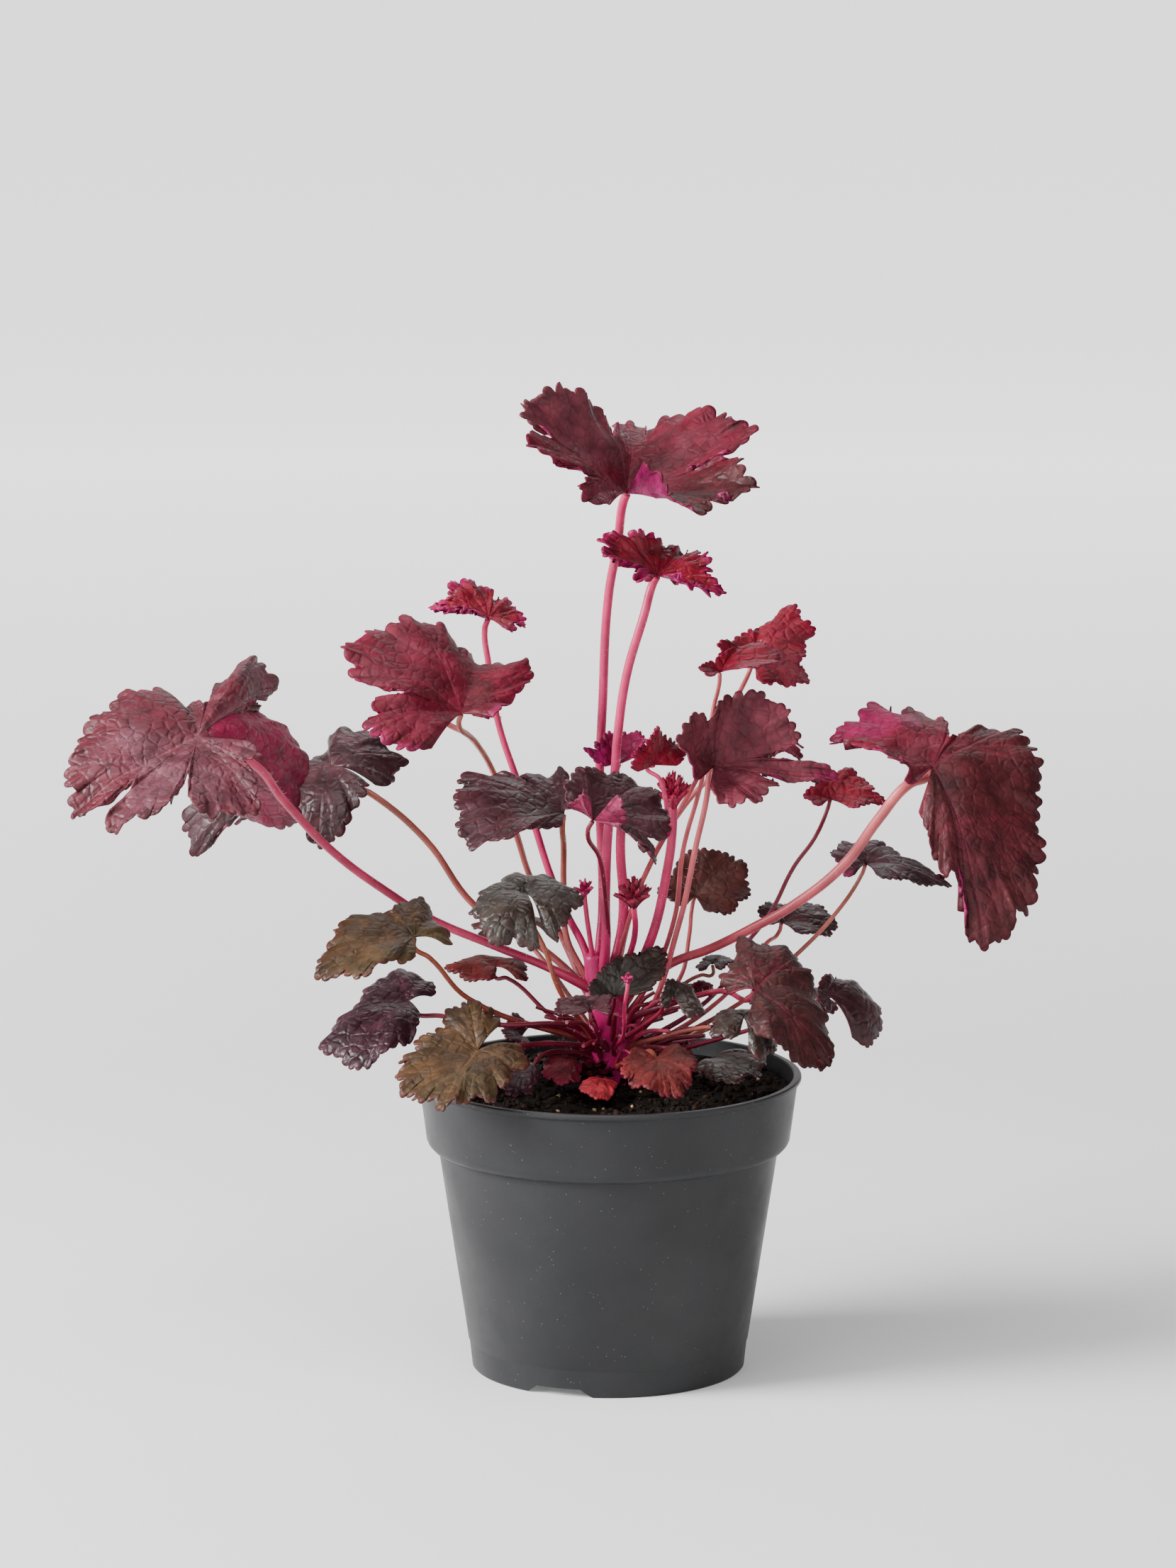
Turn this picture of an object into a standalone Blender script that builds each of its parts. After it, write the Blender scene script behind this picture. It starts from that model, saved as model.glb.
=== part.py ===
import math
import random

import bpy
import bmesh
from mathutils import Matrix, Quaternion, Vector
from mathutils.bvhtree import BVHTree

# Sizes of the pot, in metres
LIP_RADIUS = 0.0650
POT_HEIGHT = 0.1005
BAND_TOP_RADIUS = 0.0637
BAND_FOOT_RADIUS = 0.0613
BAND_FOOT_HEIGHT = 0.0790
WALL_TOP_RADIUS = 0.0573
WALL_TOP_HEIGHT = 0.0758
WALL_FOOT_RADIUS = 0.0473
FOOT_HEIGHT = 0.0098
FOOT_RADIUS = 0.0460
WALL = 0.0014
FLOOR_TOP = 0.0043
RECESS_DEPTH = 0.0027
RECESS_INNER = 0.0190
RECESS_OUTER = 0.0385
NOTCH_WIDTH = 0.0250
NOTCH_TOP_WIDTH = 0.0155
NOTCH_HEIGHT = 0.0028
NOTCH_ANGLES = (-111.5, 8.5, 128.5)
DRAIN_RADIUS = 0.0030
POT_SIDES = 48

# Sizes of the soil and of the crown standing in it
GAP = 0.0003
SOIL_TOP = 0.0955
CROWN_X = 0.001
CROWN_Y = 0.012
CROWN_RADIUS = 0.009
CROWN_FOOT = 0.075
CROWN_WAY = ((1, 12, 75), (1, 12, 97), (1, 11, 105), (1, 10, 113), (-1, 9, 122), (-3, 8, 131),
             (-5, 7, 140))
CROWN_RADII = (9.0, 9.0, 8.2, 7.4, 6.4, 5.0, 3.4)

# Thickness of a leaf blade, with its skin split alike on both faces
BLADE = 0.0008
MM = 0.001

# The eye that the photograph is seen from, in millimetres. A place on the plant is written as
# (across, height, depth): where it shows on the upright plane through the pot's axis, and how far
# behind that plane it really is.
EYE = Vector((-6.85, -2150.0, 584.0))


def seen(across, height, depth):
    onto = Vector((across, 0.0, height)) - EYE
    return (EYE + onto * ((depth - EYE.y) / -EYE.y)) * MM


# Leaves: name, colour, lift of the dome, where the stalk meets the blade, and the tips of the
# blade's lobes and largest teeth in order round it, a fourth number telling how far in towards
# the stalk the cleft after that tip is cut, where it is a deep one
LEAVES = (
    ("leaf_top", "burgundy", 0.05, (6, 297, 4), (
        (-7, 294, -34, 0.4), (-26, 314, -42, 0.25), (-30, 326, -12), (-19, 333.5, 0),
        (-8, 331, 12, 0.35), (6, 319, 44), (24, 323, 34), (35, 326, 24), (50, 319, 8, 0.5),
        (45, 308, -10), (49.5, 299, -22, 0.2), (29, 290, -38, 0.1), (14, 307, -18))),
    ("leaf_top_young", "red", 0.04, (16, 269.5, -2), (
        (10, 268, -18, 0.6), (-1, 276, -16), (-3, 283, -5), (12, 285, 4), (19, 280, 12),
        (29, 277, 12), (34, 276, 2, 0.2), (39, 263, -8), (32, 265, -16, 0.4), (23, 269, -19))),
    ("leaf_young_left", "red", 0.04, (-40, 255, 26), (
        (-44, 257, 14, 0.2), (-50, 258, 12, 0.5), (-60, 258, 22, 0.3), (-52, 268, 34),
        (-43, 267, 40, 0.3), (-32, 260, 38), (-27, 253, 28), (-32, 251, 18))),
    ("leaf_left_high", "burgundy", 0.05, (-49, 223, -18), (
        (-68, 210, -44), (-78, 214, -40), (-83, 218, -34), (-79, 226, -28, 0.5),
        (-86, 235, -20), (-89, 245, -8), (-78, 251, 6), (-66, 255, 14), (-55, 252, 20, 0.2),
        (-42, 239, 22), (-29, 241, 12), (-25, 235, 0), (-36, 223, -22))),
    ("leaf_far_left", "mauve", 0.03, (-137, 215, -12), (
        (-116, 210, -24, 0.25), (-117, 198, -34), (-116, 190, -40), (-123, 188, -44),
        (-134, 188.5, -48, 0.5), (-154, 188, -50), (-167, 183, -46, 0.42), (-180, 188, -32),
        (-182, 203, -22), (-176, 217, -8), (-166, 227.5, 6), (-159, 231, 12), (-149, 230, 18),
        (-140, 224, 16, 0.6), (-125, 237, 28), (-116, 243, 34), (-110, 231, 36, 0.5),
        (-116, 224, 30), (-103, 213, 32), (-101, 203, 28), (-106, 184, 30), (-122, 187, 30))),
    ("leaf_left_back", "dark", 0.05, (-92, 205, 52), (
        (-80, 196, 38), (-89, 181, 30), (-97, 177, 28), (-109, 188, 40, 0.15), (-123, 186, 48, 0.45),
        (-138, 174, 56), (-143, 185, 60), (-136, 194, 66), (-112, 203, 72), (-98, 205, 74, 0.2),
        (-91, 214, 76), (-86, 218, 74), (-67, 208, 66), (-72, 199, 52))),
    ("leaf_mid_left", "dark", 0.05, (-15, 189, -6), (
        (-18, 184, -18), (-32, 182, -34), (-46, 177, -32), (-51, 183, -24), (-52, 194, -10),
        (-50, 201, 2), (-42, 203, 10, 0.3), (-27, 201, 12), (-21, 201, 14), (-16, 205, 12),
        (-14, 196, 7))),
    ("leaf_mid_right", "dark", 0.04, (-5, 187, -38), (
        (-8, 197, -52), (-15, 192, -40), (-15, 199.5, -30), (-11, 204.5, -22), (-4, 204.5, -15),
        (5, 202, -10), (11, 199.5, -9), (16, 197, -13), (21, 189, -22), (21, 183, -32, 0.3),
        (16, 172, -44, 0.4), (5, 194, -56))),
    ("leaf_low_left", "green_dark", 0.08, (-28, 162, -14), (
        (-25, 142, -36), (-39, 144, -38), (-43, 149, -32), (-46, 154, -24), (-44, 160, -14),
        (-34, 167, 2), (-27, 166, 6), (-14, 165, -3), (-8, 159, -14), (-14, 151, -26),
        (-17, 145, -32))),
    ("leaf_right_high", "red", 0.05, (48, 242, 30), (
        (37, 242, 20), (36, 247, 26), (44, 250, 36), (53, 254, 44), (62, 260, 46), (69, 251, 40),
        (66, 245, 34), (67, 233, 18), (61, 232, 14), (53, 232, 14))),
    ("leaf_right_small", "red", 0.05, (37, 237, 10), (
        (33, 236, 0), (30, 239, 4), (41, 245, 18), (50, 247, 22), (57, 244, 16), (57, 240, 8),
        (47, 239, -2))),
    ("leaf_right_mid", "burgundy", 0.05, (35, 205, 0), (
        (28, 202, -18), (23, 214, -16), (26, 222, -10, 0.2), (41, 230, 6), (50, 231, 10),
        (60, 225, 10), (63, 219, 6, 0.6), (78, 201, 0, 0.55), (54, 197, -14), (51, 193, -18),
        (42, 191, -22), (36, 194, -20))),
    ("leaf_right_low_back", "olive_dark", 0.05, (29, 161, 44), (
        (24, 158, 36), (16, 163, 40), (27, 177, 54), (40, 176, 58), (46, 172, 56), (48, 162, 46),
        (41, 155, 34), (35, 155, 33))),
    ("leaf_far_right", "burgundy", 0.03, (108, 205, -6), (
        (99, 200, -22), (95, 208, -20, 0.2), (73, 214, 8), (77, 219, 16), (86, 225, 24),
        (96, 224, 30), (103, 223, 32, 0.6), (134, 217, 22), (142, 212, 12), (145, 203, 4),
        (144, 186, -6), (145.5, 174, -14), (142, 156, -24, 0.1), (134, 146, -30),
        (126, 142, -32), (120, 147, -32), (117, 166, -30), (112, 167, -30), (108, 175, -28),
        (106, 183, -24))),
    ("leaf_right_young", "red", 0.05, (74, 194, 38), (
        (69, 192, 30), (65, 196, 34), (71, 203, 46), (81, 204, 50), (87, 200, 46), (93, 193, 38),
        (84, 191, 30))),
    ("leaf_right_side", "dark", 0.05, (86, 172, 24), (
        (79, 168, 14), (74, 176, 20), (78, 179, 32), (86, 180, 38), (93, 178, 36), (108, 170, 30),
        (115, 164, 24), (104, 165, 16), (93, 167, 12))),
    ("leaf_right_low", "dark", 0.05, (58, 152, 44), (
        (53, 152, 36), (50, 157, 43), (54, 159, 51), (66, 158, 56), (72, 158, 54), (77, 151, 46),
        (74, 147, 38), (66, 148, 34))),
    ("leaf_front_right", "burgundy", 0.05, (49, 129, -46), (
        (39, 128, -40), (37, 132, -36), (42, 139, -30), (44, 146, -22), (56, 144, -20),
        (64, 139.5, -22), (68, 135, -28), (71, 127, -34), (75, 115, -48), (76, 104, -60),
        (72, 101, -64), (66, 102, -68), (56, 110, -70), (50, 113, -66))),
    ("leaf_right_curled", "dark", 0.05, (73, 128, -6), (
        (74, 121, -15), (70, 126, -14), (72, 134, -2), (79, 132, 10), (85, 129, 12), (91, 124, 8),
        (92, 114, 0), (87, 109, -6))),
    ("leaf_green_right", "green_dark", 0.06, (45, 120, -30), (
        (41, 112, -42), (34, 113, -40), (35, 120, -30), (43, 122, -20), (53, 118, -22),
        (56, 108, -36), (51, 104, -44))),
    ("leaf_green_crown", "green_dark", 0.06, (2, 127, -10), (
        (-3, 123, -20), (-7, 130, -16), (-2, 137, -8), (4, 141, -4), (17, 144, -2),
        (20, 141, -4), (19, 134, -12), (13, 129, -20))),
    ("leaf_dark_curl", "green_dark", 0.06, (21, 127, -30), (
        (18, 123, -40), (17, 126, -36), (20, 133, -28), (27, 130, -22), (31, 124, -26),
        (32, 120, -32), (28, 119, -40))),
    ("leaf_edge_small", "dark", 0.05, (-6, 122, -38), (
        (-10, 121, -48), (-18, 121, -44), (-17, 126, -34), (-7, 127, -30), (1, 127, -32),
        (1, 121, -44))),
    ("leaf_front_round", "brown_red", 0.05, (16, 105, -34), (
        (23, 110, -28), (29, 107, -32), (30, 103, -38), (28, 96, -48), (24, 91, -54),
        (19, 92, -56), (14, 94, -56), (8, 95, -52), (4, 100, -46), (4, 105, -38), (8, 109, -31))),
    ("leaf_coral", "coral", 0.05, (-2, 98.2, -12), (
        (3, 96, -18), (0.5, 91.3, -33), (-5, 91, -36), (-10, 95, -26), (-7, 98.5, -15))),
    ("leaf_soil_left", "dark_red", 0.05, (-13, 105, -2), (
        (-9, 102, -9), (-10, 97, -22), (-16, 96, -26), (-22, 99, -18), (-22, 104, -6),
        (-18, 107, 1))),
    ("leaf_front_left", "olive", 0.05, (-44, 108, -40), (
        (-28, 109, -36), (-27, 102, -44), (-34, 96, -56, 0.15), (-39, 89.5, -66), (-50, 89.5, -70),
        (-56, 86.5, -72), (-65, 90, -66), (-70, 92, -60), (-72, 99, -52), (-70, 104, -46),
        (-65, 111, -38), (-60, 114, -34, 0.1), (-54, 121, -26), (-47, 126, -22),
        (-37, 121, -26))),
    ("leaf_left_low", "olive", 0.05, (-65, 147, -16), (
        (-68, 138, -32), (-77, 137, -40), (-84, 133, -42), (-98, 132, -34), (-97, 140, -26),
        (-91, 151, -12), (-86, 153, -6, 0.3), (-65, 160, 6), (-60, 155, 4, 0.2),
        (-52, 145, -10))),
    ("leaf_left_dark", "purple_dark", 0.06, (-67, 125, -4), (
        (-64, 118, -16), (-66, 111, -26), (-75, 107, -32), (-81, 102, -34), (-86, 101, -32),
        (-97, 108, -20), (-91, 117, -8), (-79, 131, 8), (-71, 135, 12), (-60, 132, 10),
        (-58, 128, 3))),
    ("leaf_left_small", "brown_red", 0.06, (-38, 137, 24), (
        (-40, 132, 14), (-47, 132, 16), (-55, 136, 24), (-47, 140, 32), (-35, 140, 34),
        (-28, 137, 28), (-27, 132, 18))),
    ("leaf_purple_small", "purple_dark", 0.06, (-29, 113, 6), (
        (-27, 110.5, -1), (-34, 112, -3), (-36, 116, 4), (-32, 121, 13), (-27, 118, 12))),
    ("leaf_shoot_cup", "magenta", 0.04, (3, 206, 8), (
        (-3, 206, 2), (-9, 211, 2, 0.4), (-4, 214, 6), (-1, 217, 10), (4, 217, 15), (10, 217, 15),
        (13, 214, 10), (9, 209, 4))),
    ("leaf_shoot_red", "red", 0.04, (15.5, 205.5, -4), (
        (7, 205, -14), (8, 210, -11), (14, 216, -4), (16, 219, 0), (18, 217, 3), (22, 214, 6),
        (26, 210, 4), (25, 207, 0))),
    ("leaf_red_small", "dark_red", 0.05, (30, 128, 8), (
        (27, 127, 1), (27, 131, 8), (31, 132, 14), (35, 130, 12), (35, 127, 4))),
    ("leaf_grey_edge", "dark", 0.05, (35, 138, 14), (
        (30.5, 135.5, 6), (29, 137.5, 12), (33, 140.5, 20), (40, 140, 22), (42, 138, 14),
        (38, 136, 5))),
    ("leaf_soil_right", "green_dark", 0.05, (34, 105, -8), (
        (46, 108, -3), (53, 104, -12), (51, 99, -24), (43, 97, -34), (35, 97, -31),
        (30, 101, -21))),
    ("leaf_soil_purple", "purple_dark", 0.05, (-27, 104, -10), (
        (-24, 98, -24), (-26, 92.5, -40), (-33, 92, -42), (-39, 97, -34), (-40, 102, -20),
        (-35, 106, -9))),
)

# Leaves at the back that the photograph hides: name, colour, stalk place, span and heading
BACK_LEAVES = (
    ("leaf_back_left", "burgundy", (-56, 226, 92), 0.025, 112.0),
    ("leaf_back_right", "burgundy", (48, 214, 80), 0.021, 70.0),
    ("leaf_back_low_left", "olive_dark", (-30, 152, 58), 0.018, 115.0),
    ("leaf_back_low_right", "dark", (62, 128, 68), 0.020, 55.0),
)

# Stalks: the leaf that each ends under, its radius at the crown and at the tip in millimetres,
# and its way up from inside the crown
STALKS = (
    ("leaf_top", 1.6, 1.5, ((-4, 132, 8), (-3, 144, 10), (-2, 156, 13), (-3, 199, 17), (-2, 226, 17),
                            (0, 263, 14), (3, 280, 12))),
    ("leaf_top_young", 1.7, 1.5, ((-2, 130, 6), (-1, 145, 2), (-1, 162, 0), (0, 185, -1),
                                  (2, 202, -2), (3, 215, -3), (6, 236, -3), (12, 257, -3))),
    ("leaf_young_left", 1.4, 1.0, ((-5, 132, 7), (-8, 143, 11), (-14, 155, 16), (-19, 167, 19),
                                   (-26, 189, 24), (-31, 202, 25), (-37, 221, 25),
                                   (-40, 240, 25))),
    ("leaf_left_high", 0.9, 0.9, ((-4, 128, 10), (-17, 150, 18), (-26, 167, 22), (-31, 182, 22),
                                  (-37, 200, 19), (-44, 213, 2))),
    ("leaf_far_left", 1.5, 1.4, ((-3, 128, 7), (-21, 137, 6), (-38, 144, 8), (-61, 154, 16),
                                 (-72, 161, 15), (-92, 176, 9), (-108, 193, -1),
                                 (-120, 207, -12))),
    ("leaf_left_back", 1.2, 1.1, ((-4, 126, 10), (-22, 143, 22), (-45, 158, 34), (-61, 180, 42),
                                  (-78, 195, 47))),
    ("leaf_mid_left", 1.1, 1.0, ((-5, 130, 7), (-10, 138, 9), (-14, 147, 11), (-15, 164, 11),
                                 (-15, 178, 5))),
    ("leaf_mid_right", 0.8, 0.8, ((-2, 126, 7), (0, 144, 3), (-1, 160, -8), (-3, 174, -24))),
    ("leaf_low_left", 0.9, 0.8, ((0, 106, 6), (-10, 119, -4), (-17, 130, -12), (-21, 142, -14))),
    ("leaf_right_high", 0.9, 0.8, ((0, 128, 9), (9, 160, 12), (14, 172, 14), (22, 187, 17),
                                   (29, 200, 20), (42, 227, 26))),
    ("leaf_right_small", 0.9, 0.7, ((1, 114, 10), (14, 132, 9), (22, 153, 10), (25, 177, 12),
                                    (31, 200, 15), (35, 225, 16))),
    ("leaf_right_mid", 1.0, 1.0, ((2, 106, 9), (11, 116, 5), (24, 153, 2), (29, 177, 2),
                                  (33, 196, 1))),
    ("leaf_right_low_back", 0.8, 0.7, ((2, 108, 13), (24, 133, 28), (27, 147, 36))),
    ("leaf_far_right", 1.5, 1.9, ((0, 122, 9), (21, 138, 10), (34, 143, 10), (48, 150, 8),
                                  (62, 158, 4), (79, 172, -2), (90, 187, -6), (100, 199, -8))),
    ("leaf_right_young", 0.8, 0.7, ((3, 106, 13), (37, 129, 22), (45, 143, 30), (54, 155, 29),
                                    (62, 171, 34), (69, 181, 36))),
    ("leaf_right_side", 0.8, 0.7, ((4, 104, 10), (45, 125, 10), (62, 140, 14), (76, 155, 20))),
    ("leaf_right_low", 0.8, 0.7, ((4, 104, 14), (38, 126, 27), (53, 145, 38))),
    ("leaf_front_right", 1.0, 0.9, ((3, 118, 6), (30, 127, -8), (39, 128.5, -24))),
    ("leaf_right_curled", 0.8, 0.7, ((4, 104, 8), (40, 113, -1), (60, 120, -4))),
    ("leaf_green_right", 0.8, 0.7, ((2, 108, 8), (19, 113, -4), (32, 116, -16))),
    ("leaf_green_crown", 0.8, 0.7, ((0, 116, 7), (1, 121, -4))),
    ("leaf_dark_curl", 0.8, 0.7, ((2, 110, 6), (12, 117, -14), (18, 122, -25))),
    ("leaf_edge_small", 0.7, 0.6, ((0, 108, 5), (-3, 112, -16), (-5, 117, -32))),
    ("leaf_front_round", 0.9, 0.8, ((2, 102, 6), (10, 106, -12), (15, 107, -26))),
    ("leaf_coral", 0.8, 0.7, ((0, 100, 7), (-1, 98.3, -2))),
    ("leaf_soil_left", 0.7, 0.6, ((-1, 104, 9), (-7, 104, 4))),
    ("leaf_front_left", 1.0, 0.9, ((-2, 108, 8), (-11, 110, -2), (-28, 110, -16),
                                   (-38, 108, -31))),
    ("leaf_left_low", 0.9, 0.8, ((-2, 110, 8), (-47, 126, -4), (-60, 140, -12))),
    ("leaf_left_dark", 0.9, 0.8, ((-2, 112, 8), (-14, 117, -3), (-37, 117, -9), (-56, 120, -7))),
    ("leaf_left_small", 0.8, 0.7, ((-2, 110, 9), (-19, 120, 14), (-34, 133, 22))),
    ("leaf_purple_small", 0.7, 0.6, ((-1, 106, 9), (-20, 111, 8))),
    ("leaf_shoot_cup", 1.9, 1.4, ((-1, 128, 9), (3, 142, 11), (5, 155, 12), (4, 176, 13),
                                  (4, 198, 12))),
    ("leaf_shoot_red", 0.8, 0.7, ((19.5, 182, 6), (19.5, 189, 1), (18.6, 196, -2),
                                  (17, 201, -3))),
    ("leaf_red_small", 0.7, 0.6, ((3, 112, 9), (20, 122, 9))),
    ("leaf_grey_edge", 0.7, 0.6, ((2, 116, 10), (20, 127, 14), (31, 134, 14))),
    ("leaf_soil_right", 0.8, 0.7, ((3, 104, 8), (22, 105, -2))),
    ("leaf_soil_purple", 0.7, 0.6, ((-1, 104, 8), (-15, 108, 2), (-23, 106, -5))),
    ("leaf_back_left", 1.1, 1.0, ((-3, 118, 12), (-17, 150, 36), (-26, 167, 50), (-31, 183, 62),
                                  (-37, 200, 74), (-46, 215, 86))),
    ("leaf_back_right", 1.0, 0.9, ((1, 112, 14), (4, 140, 36), (9, 160, 50), (14, 172, 60),
                                   (22, 187, 68), (36, 203, 77))),
    ("leaf_back_low_left", 0.9, 0.8, ((-1, 108, 14), (-14, 128, 32), (-25, 143, 50))),
    ("leaf_back_low_right", 0.9, 0.8, ((3, 102, 15), (25, 112, 36), (48, 121, 58))),
)

# Young shoots: name, middle of the bud, its half width and half height, and its stalk
BUDS = (
    ("bud_tall", (21.5, 197.5, 7), 4.6, 7.6, 1.7,
     ((1, 122, 9), (13, 143, 6), (20, 172, 6), (21.3, 183, 6.5))),
    ("bud_basket", (8.5, 163, -10), 5.2, 6.2, 1.1,
     ((0, 124, 7), (7.4, 142, 3), (9, 150, -4))),
    ("bud_left", (-8, 164.5, 2), 3.8, 3.4, 0.9,
     ((-4, 130, 7), (-6, 145, 4), (-7.5, 156, 2.5))),
    ("bud_low", (6.5, 133.5, -34), 2.9, 2.0, 0.7,
     ((1, 108, 6), (5, 113.5, -14), (5.5, 124, -31))),
)

COLOURS = {
    "burgundy": (0.115, 0.012, 0.020),
    "mauve": (0.150, 0.030, 0.050),
    "red": (0.210, 0.012, 0.030),
    "brown_red": (0.140, 0.026, 0.022),
    "dark_red": (0.130, 0.010, 0.030),
    "coral": (0.480, 0.040, 0.060),
    "dark": (0.045, 0.016, 0.020),
    "purple_dark": (0.035, 0.012, 0.024),
    "green_dark": (0.018, 0.020, 0.017),
    "olive": (0.095, 0.048, 0.022),
    "olive_dark": (0.070, 0.030, 0.022),
    "magenta": (0.280, 0.008, 0.110),
    "stalk": (0.480, 0.055, 0.150),
    "soil": (0.018, 0.012, 0.009),
    "pot": (0.045, 0.046, 0.048),
}


def clear_scene():
    for thing in list(bpy.data.objects):
        bpy.data.objects.remove(thing, do_unlink=True)


def paint(thing, colour, rough):
    coat = bpy.data.materials.new(thing.name)
    coat.use_nodes = True
    shader = coat.node_tree.nodes["Principled BSDF"]
    shader.inputs["Base Color"].default_value = (*COLOURS[colour], 1.0)
    shader.inputs["Roughness"].default_value = rough
    thing.data.materials.clear()
    thing.data.materials.append(coat)


def add(name, form):
    shape = bpy.data.meshes.new(name)
    bmesh.ops.recalc_face_normals(form, faces=form.faces)
    form.to_mesh(shape)
    form.free()
    thing = bpy.data.objects.new(name, shape)
    bpy.context.scene.collection.objects.link(thing)
    return thing


def apply_modifiers(thing):
    """Keep the mesh that the modifiers make, and drop the modifiers."""
    bpy.context.view_layer.update()
    graph = bpy.context.evaluated_depsgraph_get()
    made = bpy.data.meshes.new_from_object(thing.evaluated_get(graph))
    thing.modifiers.clear()
    thing.data = made


def cut(thing, cutter, operation="DIFFERENCE", solver="EXACT"):
    cutter.hide_render = True
    cutter.display_type = "WIRE"
    step = thing.modifiers.new(operation.title(), "BOOLEAN")
    step.operation = operation
    step.solver = solver
    step.object = cutter
    apply_modifiers(thing)
    bpy.data.objects.remove(cutter, do_unlink=True)


def turned(name, profile, sides):
    """A closed body turned round the upright axis from (radius, height) points."""
    form = bmesh.new()
    points = [form.verts.new((radius, 0.0, height)) for radius, height in profile]
    edges = [form.edges.new(pair) for pair in zip(points, points[1:])]
    bmesh.ops.spin(form, geom=points + edges, cent=(0, 0, 0), axis=(0, 0, 1),
                   angle=math.tau, steps=sides, use_merge=True)
    bmesh.ops.remove_doubles(form, verts=form.verts, dist=0.00001)
    return add(name, form)


def drum(name, radius, low, high, sides):
    form = bmesh.new()
    place = Matrix.Translation((0, 0, (low + high) / 2))
    bmesh.ops.create_cone(form, cap_ends=True, segments=sides, radius1=radius, radius2=radius,
                          depth=high - low, matrix=place)
    return add(name, form)


def notch_cutter(angle):
    """A wedge, narrower at the top, that opens the foot ring from outside into the recess."""
    form = bmesh.new()
    bmesh.ops.create_cube(form, size=1.0)
    for corner in form.verts:
        half = (NOTCH_TOP_WIDTH if corner.co.z > 0 else NOTCH_WIDTH) / 2
        corner.co.y = math.copysign(half, corner.co.y)
        corner.co.x = FOOT_RADIUS + 0.004 if corner.co.x > 0 else RECESS_OUTER - 0.004
        corner.co.z = NOTCH_HEIGHT if corner.co.z > 0 else -0.0006
    bmesh.ops.rotate(form, verts=form.verts, cent=(0, 0, 0),
                     matrix=Matrix.Rotation(math.radians(angle), 3, "Z"))
    return add("notch", form)


def inner_radius(height):
    """Inner radius of the pot's wall at a height."""
    if height > BAND_FOOT_HEIGHT:
        rise = (height - BAND_FOOT_HEIGHT) / (POT_HEIGHT - BAND_FOOT_HEIGHT)
        return BAND_FOOT_RADIUS - WALL + rise * (BAND_TOP_RADIUS - BAND_FOOT_RADIUS)
    rise = (height - FOOT_HEIGHT) / (WALL_TOP_HEIGHT - FOOT_HEIGHT)
    return WALL_FOOT_RADIUS - WALL + rise * (WALL_TOP_RADIUS - WALL_FOOT_RADIUS)


def make_pot():
    profile = (
        (0.0, 0.0), (RECESS_INNER, 0.0), (RECESS_INNER + 0.0006, RECESS_DEPTH),
        (RECESS_OUTER, RECESS_DEPTH), (RECESS_OUTER + 0.0006, 0.0),
        (FOOT_RADIUS - 0.0005, 0.0), (FOOT_RADIUS, 0.0005),
        (WALL_FOOT_RADIUS - 0.0003, FOOT_HEIGHT - 0.0003), (WALL_FOOT_RADIUS, FOOT_HEIGHT),
        (WALL_TOP_RADIUS, WALL_TOP_HEIGHT), (WALL_TOP_RADIUS + 0.0026, WALL_TOP_HEIGHT + 0.0006),
        (BAND_FOOT_RADIUS - 0.0003, WALL_TOP_HEIGHT + 0.0018), (BAND_FOOT_RADIUS, 0.0795),
        (BAND_TOP_RADIUS, POT_HEIGHT - 0.0022), (LIP_RADIUS, POT_HEIGHT - 0.0014),
        (LIP_RADIUS, POT_HEIGHT - 0.0004), (LIP_RADIUS - 0.0005, POT_HEIGHT),
        (BAND_TOP_RADIUS - WALL, POT_HEIGHT),
        (inner_radius(0.0802), 0.0802), (inner_radius(0.0745), 0.0745),
        (inner_radius(0.0063), 0.0063), (inner_radius(0.0063) - 0.0020, FLOOR_TOP),
        (0.0, FLOOR_TOP),
    )
    pot = turned("pot", profile, POT_SIDES)
    for angle in NOTCH_ANGLES:
        cut(pot, notch_cutter(angle))
        drain = drum("drain", DRAIN_RADIUS, -0.002, FLOOR_TOP + 0.002, 16)
        turn = math.radians(angle)
        middle = (RECESS_INNER + RECESS_OUTER) / 2
        drain.data.transform(Matrix.Translation((middle * math.cos(turn),
                                                 middle * math.sin(turn), 0)))
        cut(pot, drain)
    paint(pot, "pot", 0.5)


def make_soil():
    """Peat with a slightly uneven top, a bevelled edge, and one plain hole for the crown."""
    dice = random.Random(5)
    foot = 0.0066
    profile = [(0.0, FLOOR_TOP + GAP), (inner_radius(foot) - 0.0026, FLOOR_TOP + GAP),
               (inner_radius(foot) - 0.0007, foot), (inner_radius(0.0745) - 0.0006, 0.0742),
               (inner_radius(0.0802) - 0.0006, 0.0808), (inner_radius(SOIL_TOP) - 0.0007, SOIL_TOP)]
    for radius in (0.050, 0.037, 0.024):
        profile.append((radius, SOIL_TOP))
    profile.append((0.0, SOIL_TOP))
    soil = turned("soil", profile, POT_SIDES)
    for point in soil.data.vertices:
        reach = point.co.xy.length
        if point.co.z > SOIL_TOP - 0.0001 and 0.030 < reach < 0.055:
            point.co.z += dice.uniform(-0.0010, 0.0008)
    hole = drum("hole", CROWN_RADIUS + GAP, CROWN_FOOT - GAP, 0.110, 24)
    hole.data.transform(Matrix.Translation((CROWN_X, CROWN_Y, 0)))
    cut(soil, hole)
    paint(soil, "soil", 0.95)


def between(tips, place):
    """A smooth curve through the lobe tips: where it is at a place counted in lobes."""
    last = len(tips) - 1
    low = min(max(int(math.floor(place)), 0), last - 1)
    part = place - low
    a = tips[max(low - 1, 0)]
    b = tips[low]
    c = tips[low + 1]
    d = tips[min(low + 2, last)]
    return 0.5 * (2 * b + (c - a) * part + (2 * a - 5 * b + 4 * c - d) * part ** 2
                  + (3 * b - a - 3 * c + d) * part ** 3)


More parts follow.
